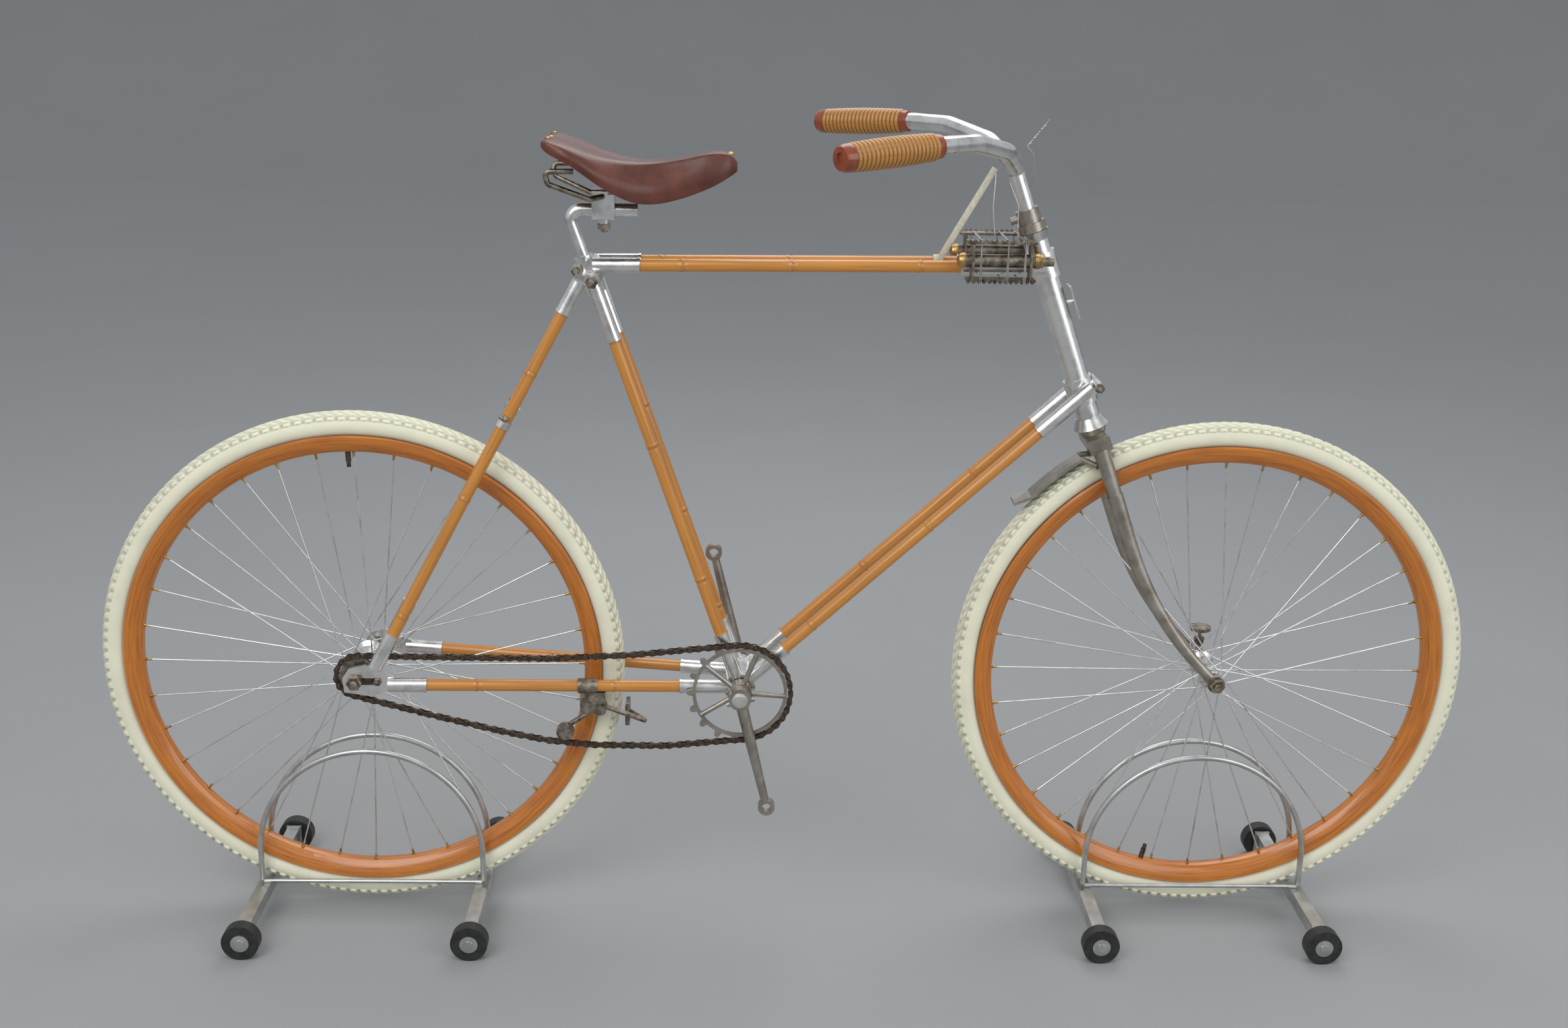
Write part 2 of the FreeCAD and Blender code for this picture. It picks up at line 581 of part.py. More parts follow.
def wheels():
    """Both wheels."""
    rear_hub = hub(REAR_AXLE, REAR_FLANGE_Y, REAR_FLANGE_RADIUS, 15, (-56, 56))
    front_hub = hub(FRONT_AXLE, FRONT_FLANGE_Y, FRONT_FLANGE_RADIUS, 12, (-38, 38))
    for name, centre, barrel, flange in (
            ("rear", REAR_AXLE, rear_hub, (REAR_FLANGE_Y, REAR_FLANGE_RADIUS)),
            ("front", FRONT_AXLE, front_hub, (FRONT_FLANGE_Y, FRONT_FLANGE_RADIUS))):
        node(name + "_tyre", tyre(centre))
        node(name + "_rim", rim(centre))
        node(name + "_hub", barrel)
        node(name + "_spokes", [spoke.cut(barrel) for spoke in spokes(centre, *flange)])
    node("rear_valve", valve(REAR_AXLE, 91.6, 14))
    node("front_valve", valve(FRONT_AXLE, 257.0, 14))


def rear_axle():
    """The rear axle with its cones and outer nuts."""
    solids = [rod(Vector(REAR_X, -80, AXLE_Z), Vector(REAR_X, 80, AXLE_Z), AXLE_RADIUS)]
    inner = DROPOUT_Y - DROPOUT_THICK / 2
    outer = DROPOUT_Y + DROPOUT_THICK / 2
    for side in (-1, 1):
        solids.append(rod(Vector(REAR_X, side * 57, AXLE_Z), Vector(REAR_X, side * inner, AXLE_Z), 8.0))
        nut = rod(Vector(REAR_X, side * outer, AXLE_Z), Vector(REAR_X, side * (outer + 8), AXLE_Z), 8.5)
        solids.append(nut)
    node("rear_axle", fuse(solids))


# ================================================================ drive
def toothed_wheel(centre, teeth, pitch_radius, body_radius, bore):
    """A flat wheel with block-chain teeth, centred on the chain line."""
    half = TOOTH_WIDTH / 2
    place = Vector(centre.x, CHAIN_LINE_Y, centre.z)
    disc = rod(place - Vector(0, half, 0), place + Vector(0, half, 0), body_radius)
    blades = []
    for index in range(teeth):
        turn = 2 * math.pi * (index + 0.5) / teeth
        out = Vector(math.cos(turn), 0, math.sin(turn))
        side = Vector(-math.sin(turn), 0, math.cos(turn))
        shape = ((body_radius - 3, 5.5), (pitch_radius + 1, 3.6), (pitch_radius + 3, 1.6))
        outline = [place + out * radius + side * half_width for radius, half_width in shape]
        outline += [place + out * radius - side * half_width for radius, half_width in reversed(shape)]
        face = Part.Face(Part.makePolygon(outline + outline[:1]))
        face.translate(Vector(0, -half, 0))
        blades.append(face.extrude(Vector(0, 2 * half, 0)))
    wheel = fuse([disc] + blades)
    return wheel.cut(rod(place - Vector(0, 20, 0), place + Vector(0, 20, 0), bore))


CRANK_BOSS_INNER = 61.0
CRANK_BOSS_OUTER = 78.0
RING_ARM_ANGLES = [-4 + 72 * index for index in range(5)]


def crank_arm(angle_degrees, side):
    """One crank: a boss on the axle, a round tapered arm and the eye for a pedal."""
    turn = math.radians(angle_degrees)
    way = Vector(math.cos(turn), 0, math.sin(turn))
    y = side * CRANK_Y
    eye_centre = BRACKET + way * CRANK_LENGTH
    boss = rod(on_side(BRACKET, side * CRANK_BOSS_INNER), on_side(BRACKET, side * CRANK_BOSS_OUTER), 15.0)
    arm = cone(on_side(BRACKET, y), on_side(eye_centre, y), 8.5, 5.5)
    eye = rod(on_side(eye_centre, y - 5.5), on_side(eye_centre, y + 5.5), PEDAL_EYE_RADIUS)
    hole = rod(on_side(eye_centre, y - 9), on_side(eye_centre, y + 9), PEDAL_EYE_BORE)
    bore = rod(on_side(BRACKET, y - 30), on_side(BRACKET, y + 30), CRANK_AXLE_RADIUS + PRESS_GAP)
    pin_way = Vector(math.cos(turn + math.pi / 2), 0, math.sin(turn + math.pi / 2))
    pin_centre = on_side(BRACKET, y) + way * 5.5
    cotter = rod(pin_centre - pin_way * 19, pin_centre + pin_way * 19, 3.5)
    return fuse([boss, arm, eye, cotter]).cut([hole, bore])


def cranks():
    """The chain ring, both cranks and their axle."""
    ring = toothed_wheel(BRACKET, RING_TEETH, RING_PITCH_RADIUS, RING_PITCH_RADIUS - 4.8, 59.8)
    place = on_side(BRACKET, CHAIN_LINE_Y)
    boss_half = -CRANK_BOSS_INNER - CHAIN_LINE_Y
    solids = [ring, rod(place + Vector(0, boss_half, 0), place - Vector(0, boss_half, 0), 16.0)]
    for angle in RING_ARM_ANGLES:
        turn = math.radians(angle)
        way = Vector(math.cos(turn), 0, math.sin(turn))
        solids.append(rod(place + way * 10, place + way * 61.5, 3.6))
    bore = rod(place - Vector(0, 20, 0), place + Vector(0, 20, 0), CRANK_AXLE_RADIUS + PRESS_GAP)
    node("chain_ring", fuse(solids).cut(bore))
    node("crank_axle", rod(on_side(BRACKET, -CRANK_BOSS_OUTER), on_side(BRACKET, CRANK_BOSS_OUTER),
                           CRANK_AXLE_RADIUS))
    node("right_crank", crank_arm(CRANK_ANGLE, -1))
    node("left_crank", crank_arm(CRANK_ANGLE + 180, 1))
    sprocket = toothed_wheel(REAR_AXLE, SPROCKET_TEETH, SPROCKET_PITCH_RADIUS,
                             SPROCKET_PITCH_RADIUS - 4.8, HUB_END_RADIUS + PRESS_GAP)
    node("rear_sprocket", sprocket)


# Middle points of the two straight stretches, from the rear axle.
UPPER_SAG = ((256.0, 396.0), (369.0, 402.5))
LOWER_SAG = ((105.0, 310.0), (190.0, 289.0), (254.0, 276.0), (317.0, 269.7), (414.0, 269.2))


def tangent_angle(centre, radius, point, sign):
    """The angle on a circle at which a line to the point touches it."""
    dx, dz = point[0] - centre[0], point[1] - centre[1]
    distance = math.hypot(dx, dz)
    return math.atan2(dz, dx) + sign * math.acos(radius / distance)


def chain_loop(offset):
    """The closed chain line moved outwards by an offset, as a wire in the chain's plane."""
    rear = (0.0, AXLE_Z)
    front = (BRACKET_X, BRACKET_Z)

    def on_circle(centre, radius, turn):
        return spot(centre[0] + radius * math.cos(turn), CHAIN_LINE_Y,
                    centre[1] + radius * math.sin(turn))

    rear_up = tangent_angle(rear, SPROCKET_PITCH_RADIUS, UPPER_SAG[0], 1)
    front_up = tangent_angle(front, RING_PITCH_RADIUS, UPPER_SAG[-1], -1)
    front_low = tangent_angle(front, RING_PITCH_RADIUS, LOWER_SAG[-1], 1)
    rear_low = tangent_angle(rear, SPROCKET_PITCH_RADIUS, LOWER_SAG[0], -1)

    def stretch(points, side):
        moved = []
        for index in range(1, len(points) - 1):
            before, here, after = points[index - 1], points[index], points[index + 1]
            along = (after - before).normalize()
            moved.append(here + Vector(-along.z, 0, along.x) * side)
        return moved

    small, large = SPROCKET_PITCH_RADIUS + offset, RING_PITCH_RADIUS + offset
    upper = [on_circle(rear, SPROCKET_PITCH_RADIUS, rear_up)]
    upper += [spot(x, CHAIN_LINE_Y, z) for x, z in UPPER_SAG]
    upper.append(on_circle(front, RING_PITCH_RADIUS, front_up))
    lower = [on_circle(front, RING_PITCH_RADIUS, front_low)]
    lower += [spot(x, CHAIN_LINE_Y, z) for x, z in reversed(LOWER_SAG)]
    lower.append(on_circle(rear, SPROCKET_PITCH_RADIUS, rear_low))
    upper_points = [on_circle(rear, small, rear_up)] + stretch(upper, offset)
    upper_points.append(on_circle(front, large, front_up))
    lower_points = [on_circle(front, large, front_low)] + stretch(lower, offset)
    lower_points.append(on_circle(rear, small, rear_low))

    edges = [Part.LineSegment(a, b).toShape() for a, b in zip(upper_points, upper_points[1:])]
    front_far = front_up - (front_up - front_low) % (2 * math.pi) / 2
    edges.append(Part.Arc(upper_points[-1], on_circle(front, large, front_far), lower_points[0]).toShape())
    edges += [Part.LineSegment(a, b).toShape() for a, b in zip(lower_points, lower_points[1:])]
    rear_far = rear_low - (rear_low - rear_up) % (2 * math.pi) / 2
    edges.append(Part.Arc(lower_points[-1], on_circle(rear, small, rear_far), upper_points[0]).toShape())
    return Part.Wire(edges)


def chain():
    """The block chain as one fixed loop: two rows of side plates, and blocks on the free stretches."""
    outer = Part.Face(chain_loop(CHAIN_HEIGHT / 2))
    inner = Part.Face(chain_loop(-CHAIN_HEIGHT / 2))
    band = outer.cut(inner)
    solids = []
    for y in (-CHAIN_GAP / 2 - CHAIN_PLATE, CHAIN_GAP / 2):
        row = band.copy()
        row.translate(Vector(0, y, 0))
        solids.append(row.extrude(Vector(0, CHAIN_PLATE, 0)))
    blocks = []
    reach = CHAIN_GAP / 2 + CHAIN_PLATE
    stretches = ((UPPER_SAG[0], UPPER_SAG[1]),) + tuple(zip(LOWER_SAG, LOWER_SAG[1:]))
    for start, end in stretches:
        length = math.hypot(end[0] - start[0], end[1] - start[1])
        count = int(length // CHAIN_PITCH)
        for index in range(count):
            share = (index + 0.5) / count
            x = start[0] + (end[0] - start[0]) * share
            z = start[1] + (end[1] - start[1]) * share
            blocks.append(rod(spot(x, CHAIN_LINE_Y - reach, z), spot(x, CHAIN_LINE_Y + reach, z), 3.2))
    node("chain", fuse(solids + blocks))


# ================================================================ back-pedal brake
def back_pedal_brake():
    """The tyre brake on the right chainstay, worked by the lower run of the chain."""
    along = (CHAIN_RUN[1] - CHAIN_RUN[0]).normalize()
    centre = toward(CHAIN_RUN[0], CHAIN_RUN[1], 309)
    band = rod(centre - along * 13, centre + along * 13, BAMBOO_RADIUS + 2.2)
    band = band.cut(rod(centre - along * 20, centre + along * 20, BAMBOO_RADIUS + SLEEVE_FIT))
    foot_y = centre.y
    bracket = box(centre.x - 10, centre.x + 24, foot_y - 3, foot_y + 5, centre.z - 40, centre.z - 9.2)
    pivot = Vector(centre.x + 18, 0, centre.z - 34)
    boss = rod(on_side(pivot, foot_y - 6), on_side(pivot, foot_y + 8), 7.5)
    node("brake_clamp", fuse([band, bracket, boss]))

    roller = spot(277.0, 0, chain_height_at(277.0) + CHAIN_HEIGHT / 2 + BRAKE_ROLLER + SEAT_GAP)
    arm_y = foot_y + 8 + SEAT_GAP + 4
    shoe_z = AXLE_Z - 70
    shoe_x = REAR_X + math.sqrt((TYRE_RADIUS + CLEAR) ** 2 - (AXLE_Z - shoe_z) ** 2)
    elbow = Vector(shoe_x + 30, arm_y, shoe_z + 2)
    solids = [rod(on_side(pivot, arm_y - 4), on_side(pivot, arm_y + 4), 7.5),
              rod(on_side(pivot, arm_y), on_side(roller, arm_y), 3.5),
              rod(on_side(roller, arm_y + 3), on_side(roller, CHAIN_LINE_Y - 4), 3.0),
              rod(on_side(roller, CHAIN_LINE_Y - 4), on_side(roller, CHAIN_LINE_Y + 4), BRAKE_ROLLER),
              rod(on_side(pivot, arm_y), elbow, 3.5),
              Part.makeSphere(3.5, elbow),
              rod(elbow, Vector(shoe_x + 7, 0, shoe_z), 3.5),
              box(shoe_x + 2, shoe_x + 8, -13, 13, shoe_z - 16, shoe_z + 16)]
    side_room = TYRE_SECTION / 2 + CLEAR
    tyre_room = rod(on_side(REAR_AXLE, -side_room), on_side(REAR_AXLE, side_room), TYRE_RADIUS + CLEAR)
    node("brake_lever", fuse(solids).cut(tyre_room))


def chain_height_at(x):
    """The height of the lower run's centre line at a distance from the rear axle."""
    for (x0, z0), (x1, z1) in zip(LOWER_SAG, LOWER_SAG[1:]):
        if x0 <= x <= x1:
            return z0 + (z1 - z0) * (x - x0) / (x1 - x0)
    raise ValueError("outside the lower run")


# ================================================================ pieces tied to the frame
PEDAL_HALF = 11.0
PEDAL_Y = TOP_TUBE_Y + SLEEVE_RADIUS + SEAT_GAP + PEDAL_HALF
PEDAL_X = (795.0, 891.0)
PEDAL_Z = 940.0
PEDAL_HEIGHT = 48.0


def tied_pedals():
    """A pair of rat-trap pedals hung up by wires, one on each side of the top tube."""
    x0, x1 = PEDAL_X
    inner, outer = -PEDAL_Y + PEDAL_HALF, -PEDAL_Y - PEDAL_HALF
    low, high = PEDAL_Z - PEDAL_HEIGHT / 2, PEDAL_Z + PEDAL_HEIGHT / 2
    solids = []
    for z in (high, low):
        solids.append(box(REAR_X + x0, REAR_X + x1 - 8, outer, inner, z - 1.5, z + 1.5))
    for x in (REAR_X + x0 + 6, REAR_X + x1 - 16):
        solids.append(box(x, x + 3, outer, inner, low, high))
    neck = spot(x1 - 4, -PEDAL_Y, PEDAL_Z)
    solids.append(rod(spot(x0 - 4, -PEDAL_Y, PEDAL_Z), neck, 8.5))
    solids.append(rod(neck, spot(x1 + 15, -PEDAL_Y, PEDAL_Z), PEDAL_SPINDLE_RADIUS))
    node("tied_pedals", both_sides(fuse(solids)))


# ================================================================ steering
def fork():
    """The fork: crown with the steering tube, and two curved blades."""
    solids = [rod(steer(CROWN_TOP - 1), steer(HEAD_TUBE_TOP + 30), STEERER_RADIUS)]
    crown = box(-15, 15, -BLADE_TOP_Y - 6, BLADE_TOP_Y + 6, 0, CROWN_TOP - CROWN_FOOT)
    crown = crown.makeFillet(3.0, [edge for edge in crown.Edges if edge.Length > 70])
    crown.Placement = FreeCAD.Placement(steer(CROWN_FOOT),
                                        FreeCAD.Rotation(Vector(0, 1, 0), -(90 - HEAD_ANGLE)))
    solids.append(crown)
    solids.append(cone(steer(CROWN_TOP - 1), steer(HEAD_TUBE_FOOT - 15), 17.0, 20.0))
    for side in (-1, 1):
        solids.append(cone(steer(CROWN_FOOT + 4, 0, side * BLADE_TOP_Y),
                           steer(CROWN_TANG_FOOT, 0, side * (BLADE_TOP_Y + 2.0)), 11.0, 10.0))
    node("fork_crown", fuse(solids))

    node("fork_blades", both_sides(fork_blade()))


def fork_blade():
    """The right blade, an oval tube that narrows and bends forward to the axle."""
    bend_radius = (BLADE_BEND_START ** 2 + FORK_RAKE ** 2) / (2 * FORK_RAKE)
    sections = []
    levels = [BLADE_TOP, 270.0, 230.0, 185.0, 140.0, 95.0, 50.0, 0.0]
    for level in levels:
        share = 1 - level / BLADE_TOP
        y = -(BLADE_TOP_Y + 2 + (BLADE_FOOT_Y - BLADE_TOP_Y - 2) * share)
        drop = max(0.0, BLADE_BEND_START - level)
        ahead = bend_radius - math.sqrt(bend_radius ** 2 - drop ** 2)
        slope = math.asin(drop / bend_radius)
        normal = STEER_UP * math.cos(slope) * -1 + STEER_AHEAD * math.sin(slope)
        front_half = 11.0 - 4.0 * share
        side_half = 7.5 - 2.0 * share
        ellipse = Part.Ellipse(Vector(0, 0, 0), front_half, side_half).toShape()
        across = normal.cross(Vector(0, 1, 0))
        matrix = FreeCAD.Matrix(across.x, 0, normal.x, 0, across.y, 1, normal.y, 0,
                                across.z, 0, normal.z, 0, 0, 0, 0, 1)
        placed = Part.Wire([ellipse]).transformGeometry(matrix)
        placed.translate(steer(level, ahead, y))
        sections.append(placed)
    blade = Part.makeLoft(sections, True)
    end = rod(on_side(FRONT_AXLE, -BLADE_FOOT_Y - 5), on_side(FRONT_AXLE, -BLADE_FOOT_Y + 5), 11.0)
    hole = rod(on_side(FRONT_AXLE, -BLADE_FOOT_Y - 20), on_side(FRONT_AXLE, -BLADE_FOOT_Y + 20),
               AXLE_RADIUS + SLEEVE_FIT)
    nut_room = rod(on_side(FRONT_AXLE, -BLADE_FOOT_Y - 30), on_side(FRONT_AXLE, -BLADE_FOOT_Y - 5), 9.0)
    cone_room = rod(on_side(FRONT_AXLE, -BLADE_FOOT_Y + 5), on_side(FRONT_AXLE, 0), 9.0)
    return fuse([blade, end]).cut([hole, nut_room, cone_room])


def front_axle():
    """The front axle with its cones and outer nuts."""
    solids = [rod(on_side(FRONT_AXLE, -64), on_side(FRONT_AXLE, 64), AXLE_RADIUS)]
    for side in (-1, 1):
        solids.append(rod(on_side(FRONT_AXLE, side * 39), on_side(FRONT_AXLE, side * (BLADE_FOOT_Y - 5)),
                          FRONT_CONE_RADIUS))
        solids.append(rod(on_side(FRONT_AXLE, side * (BLADE_FOOT_Y + 5)),
                          on_side(FRONT_AXLE, side * (BLADE_FOOT_Y + 12)), 8.0))
    node("front_axle", fuse(solids))


GRIP_FRONT = (729.0, 193.0, 1094.0)
GRIP_REAR = (629.0, 262.0, 1087.0)
GRIP_RADIUS = 15.5
BAR_BENDS = ((786.0, -141.0, 1095.0), (833.0, -80.0, 1080.0))
BAR_STRAIGHT = 30.0
BAR_BEND_RADIUS = 40.0


def handlebar():
    """The stem, the bent bar and its grips."""
    lock = rod(steer(HEAD_TUBE_TOP + 12.5), steer(HEAD_TUBE_TOP + 24), 18.0)
    collar = rod(steer(HEAD_TUBE_TOP + 24), steer(HEAD_TUBE_TOP + 42), 15.0)
    lug = rod(steer(HEAD_TUBE_TOP + 33, -10), steer(HEAD_TUBE_TOP + 33, -24), 5.0)
    head_nut = fuse([lock, collar, lug])
    steerer_room = rod(steer(HEAD_TUBE_TOP), steer(HEAD_TUBE_TOP + 30), STEERER_RADIUS + PRESS_GAP)
    stem_room = rod(steer(HEAD_TUBE_TOP + 29), steer(HEAD_TUBE_TOP + 60), STEM_RADIUS + PRESS_GAP)
    node("head_clamp", head_nut.cut([steerer_room, stem_room]))
    node("handlebar_stem", rod(steer(HEAD_TUBE_TOP + 30), steer(STEM_TOP - BAR_RADIUS - SEAT_GAP),
                               STEM_RADIUS))
    top = steer(STEM_TOP)
    grip_front = spot(GRIP_FRONT[0], -GRIP_FRONT[1], GRIP_FRONT[2])
    grip_rear = spot(GRIP_REAR[0], -GRIP_REAR[1], GRIP_REAR[2])
    way = (grip_rear - grip_front).normalize()
    right = [grip_rear - way * 6, grip_front - way * 18] + [spot(*place) for place in BAR_BENDS]
    right.append(on_side(top, -BAR_STRAIGHT))
    left = [Vector(point.x, -point.y, point.z) for point in reversed(right)]
    node("handlebar", bent_rod(right + left, BAR_BEND_RADIUS, BAR_RADIUS))
    grip = rod(grip_front, grip_rear, GRIP_RADIUS).cut(rod(grip_front, grip_rear, BAR_RADIUS + SLEEVE_FIT))
    node("grips", both_sides(grip))
    cap = rod(grip_rear + way * 0.2, grip_rear + way * 8, GRIP_RADIUS + 1)
    node("grip_caps", both_sides(cap))


SPOON_LOW_TURN = math.radians(44)        # both ends of the plate, back from the wheel's front
SPOON_HIGH_TURN = math.radians(57)
SPOON_WIDTH = 34.0
SPOON_THICK = 4.0


def spoon_spot(turn, radius):
    """A point behind the front wheel's top, by its turn about the axle and its radius."""
    return FRONT_AXLE + Vector(-radius * math.cos(turn), 0, radius * math.sin(turn))


def spoon_brake():
    """The front brake plate that curves over the tyre behind the fork."""
    inner = TYRE_RADIUS + CLEAR
    half = Vector(0, SPOON_WIDTH / 2, 0)
    tyre_room = rod(on_side(FRONT_AXLE, -40), on_side(FRONT_AXLE, 40), inner)
    wedge = Part.Face(Part.makePolygon([FRONT_AXLE, spoon_spot(SPOON_LOW_TURN, 500),
                                        spoon_spot(SPOON_HIGH_TURN, 500), FRONT_AXLE]))
    wedge.translate(-half)
    plate = rod(FRONT_AXLE - half, FRONT_AXLE + half, inner + SPOON_THICK)
    plate = plate.common(wedge.extrude(half * 2))

    root = spoon_spot(SPOON_LOW_TURN, inner + 2)
    tip = root + Vector(-24, 0, -10)
    outline = [root + Vector(1.5, 0, 2), tip + Vector(0, 0, 2), tip - Vector(0, 0, 2),
               root - Vector(1, 0, 2.5)]
    lip = Part.Face(Part.makePolygon(outline + outline[:1]))
    lip.translate(-half)
    plate = plate.fuse(lip.extrude(half * 2)).cut(tyre_room)

    arm_foot = spoon_spot(SPOON_HIGH_TURN, inner + 2) - Vector(0, 12, 0)
    arms = both_sides(rod(arm_foot, steer(344, -10, -BLADE_TOP_Y), 4.0))
    crown_room = rod(steer(CROWN_FOOT + 4, 0, -BLADE_TOP_Y), steer(310, 0, -BLADE_TOP_Y - 2), 11.1)
    rooms = both_sides(crown_room)
    node("spoon_brake", fuse([plate] + [arm.cut(rooms) for arm in arms]))


COUNTER_COLLAR_Y = 41.5
COUNTER_Y = 46.5
COUNTER_RISE = 42.0
COUNTER_RADIUS = 15.0


def cyclometer():
    """The small mileage counter that stands on the front axle inside the left blade."""
    foot = on_side(FRONT_AXLE, COUNTER_COLLAR_Y)
    neck = Vector(FRONT_AXLE.x, COUNTER_Y, AXLE_Z + COUNTER_RISE)
    collar = rod(foot - Vector(0, 1.5, 0), foot + Vector(0, 1.5, 0), 12.0).cut(
        rod(foot - Vector(0, 3, 0), foot + Vector(0, 3, 0), FRONT_CONE_RADIUS + SLEEVE_FIT))
    stem = rod(foot + Vector(0, 0, 10), neck, 2.5)
    knob = cone(neck - Vector(0, 0, 22), neck - Vector(0, 0, 12), 6.0, 7.5)
    disc = rod(neck, neck + Vector(0, 0, 4.5), COUNTER_RADIUS)
    node("cyclometer", fuse([collar, stem, knob, disc]))


# ================================================================ stands
def stand(name, centre_x):
    """A rolling stand: two cross bars, two rails and two hoops beside the tyre."""
    bar_low = STAND_BAR_TOP - STAND_BAR
    solids = []
    for side in (-1, 1):
        x = centre_x + side * STAND_HALF
        half = STAND_BAR / 2
        solids.append(box(x - half, x + half, -STAND_BAR_END, STAND_BAR_END, bar_low, STAND_BAR_TOP))
        for end in (-1, 1):
            y0 = min(end * STAND_BAR_END, end * (STAND_BAR_END - 4))
            solids.append(box(x - 11, x + 11, y0, y0 + 4, 12.0, STAND_BAR_TOP + 1.5))
            bolt_y = sorted((end * (STAND_BAR_END - 4), end * (ROLLER_Y + ROLLER_WIDTH / 2 + 3)))
            solids.append(rod(Vector(x, bolt_y[0], ROLLER_RADIUS), Vector(x, bolt_y[1], ROLLER_RADIUS),
                              ROLLER_BORE))
    for side in (-1, 1):
        y = side * HOOP_Y
        z = STAND_BAR_TOP + RAIL_ROD - 0.5
        solids.append(rod(Vector(centre_x - STAND_HALF, y, z), Vector(centre_x + STAND_HALF, y, z),
                          RAIL_ROD))
    node(name + "_stand_frame", fuse(solids))

    arch_z = HOOP_TOP_Z - HOOP_ROD - HOOP_RADIUS
    foot_z = STAND_BAR_TOP + 2 * RAIL_ROD - 0.5
    hoops = []
    for side in (-1, 1):
        y = side * HOOP_Y
        left = Vector(centre_x - HOOP_RADIUS, y, arch_z)
        right = Vector(centre_x + HOOP_RADIUS, y, arch_z)
        top = Vector(centre_x, y, arch_z + HOOP_RADIUS)
        edges = [Part.LineSegment(Vector(left.x, y, foot_z), left).toShape(),
                 Part.Arc(left, top, right).toShape(),
                 Part.LineSegment(right, Vector(right.x, y, foot_z)).toShape()]
        profile = Part.Wire(Part.makeCircle(HOOP_ROD, Vector(left.x, y, foot_z), Vector(0, 0, 1)))
        hoops.append(Part.Wire(edges).makePipeShell([profile], True, False))
    node(name + "_stand_hoops", hoops)

    for label, side in (("rear", -1), ("front", 1)):
        x = centre_x + side * STAND_HALF
        rollers = []
        for end in (-1, 1):
            place = Vector(x, end * ROLLER_Y, ROLLER_RADIUS)
            half = Vector(0, ROLLER_WIDTH / 2, 0)
            roller = rod(place - half, place + half, ROLLER_RADIUS)
            rollers.append(roller.cut(rod(place - half * 2, place + half * 2, ROLLER_BORE + RUNNING_FIT)))
        node(name + "_stand_" + label + "_rollers", rollers)


# ================================================================ build
frame_tubes()
bottom_bracket()
seat_lug()
seat_post()
head()
dropouts()
stay_bridge()
saddle_clamp()
saddle_springs()
saddle()
wheels()
rear_axle()
cranks()
chain()
back_pedal_brake()
tied_pedals()
fork()
front_axle()
handlebar()
spoon_brake()
cyclometer()
stand("rear", REAR_X)
stand("front", FRONT_X)

for name, solids in NODES.items():
    shape = Part.makeCompound(solids) if len(solids) > 1 else solids[0]
    shape.exportStep("parts/" + name + ".step")
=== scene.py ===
"""Looks of the bamboo bicycle and its two rolling stands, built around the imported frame."""
import json
import math
import random

import bpy
import numpy as np
from mathutils import Matrix, Vector

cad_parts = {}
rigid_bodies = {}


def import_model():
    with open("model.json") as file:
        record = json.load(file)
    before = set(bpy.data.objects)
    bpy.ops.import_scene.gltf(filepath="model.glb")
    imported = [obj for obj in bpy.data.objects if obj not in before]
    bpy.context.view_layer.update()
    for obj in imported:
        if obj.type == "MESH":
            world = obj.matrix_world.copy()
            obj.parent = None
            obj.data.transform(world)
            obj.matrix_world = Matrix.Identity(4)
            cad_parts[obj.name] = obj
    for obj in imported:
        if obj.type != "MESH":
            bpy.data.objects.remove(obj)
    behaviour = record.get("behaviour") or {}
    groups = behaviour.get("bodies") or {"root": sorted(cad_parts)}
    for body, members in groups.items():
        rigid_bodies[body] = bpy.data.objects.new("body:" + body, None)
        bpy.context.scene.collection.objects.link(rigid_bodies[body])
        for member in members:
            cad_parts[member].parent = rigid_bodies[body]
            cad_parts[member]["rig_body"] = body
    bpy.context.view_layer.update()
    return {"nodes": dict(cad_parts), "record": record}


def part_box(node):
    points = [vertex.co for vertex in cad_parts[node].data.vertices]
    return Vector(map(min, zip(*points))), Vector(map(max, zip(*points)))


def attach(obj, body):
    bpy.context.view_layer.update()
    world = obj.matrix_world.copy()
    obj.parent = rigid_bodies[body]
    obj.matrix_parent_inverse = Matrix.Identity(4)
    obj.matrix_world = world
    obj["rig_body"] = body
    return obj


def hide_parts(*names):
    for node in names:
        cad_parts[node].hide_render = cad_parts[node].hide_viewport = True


bl_info = {
    "name": "Bamboo bicycle",
    "version": (1, 0, 0),
    "blender": (4, 5, 0),
    "location": "3D View > Sidebar > Bicycle",
    "description": "Bamboo tubes, tyres, chain, saddle and finishes of a bamboo bicycle",
    "category": "Object",
}

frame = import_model()
NODES = frame["nodes"]
SLOT_OF = {part["node"]: part["material_slot"] for part in frame["record"]["subparts"]}
MM = 0.001
SPOKES = 36
CHAIN_PITCH = 25.4 * MM
RING_TEETH, SPROCKET_TEETH = 17, 7


def middle(node):
    """The centre of a node's box."""
    low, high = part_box(node)
    return (low + high) / 2


REAR_AXLE = middle("rear_tyre")
FRONT_AXLE = middle("front_tyre")
BRACKET = middle("crank_axle")
CHAIN_Y = middle("chain").y
TYRE_OUTER = (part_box("rear_tyre")[1].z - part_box("rear_tyre")[0].z) / 2
TYRE_SECTION = (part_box("rear_tyre")[1].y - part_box("rear_tyre")[0].y) / 2


def from_rear(x, y, z):
    """A point in millimetres: x from the rear axle, y from the middle plane, z from the floor."""
    return Vector((REAR_AXLE.x + x * MM, y * MM, z * MM))


# ---------------------------------------------------------------- sizes and colours
def size(name, text, value):
    """A length that a user may change."""
    return bpy.props.FloatProperty(name=name, description=text, default=value, unit="LENGTH", precision=5)


def colour(name, text, value):
    """A colour that a user may change."""
    return bpy.props.FloatVectorProperty(name=name, description=text, default=value, size=3,
                                         subtype="COLOR", min=0.0, max=1.0)


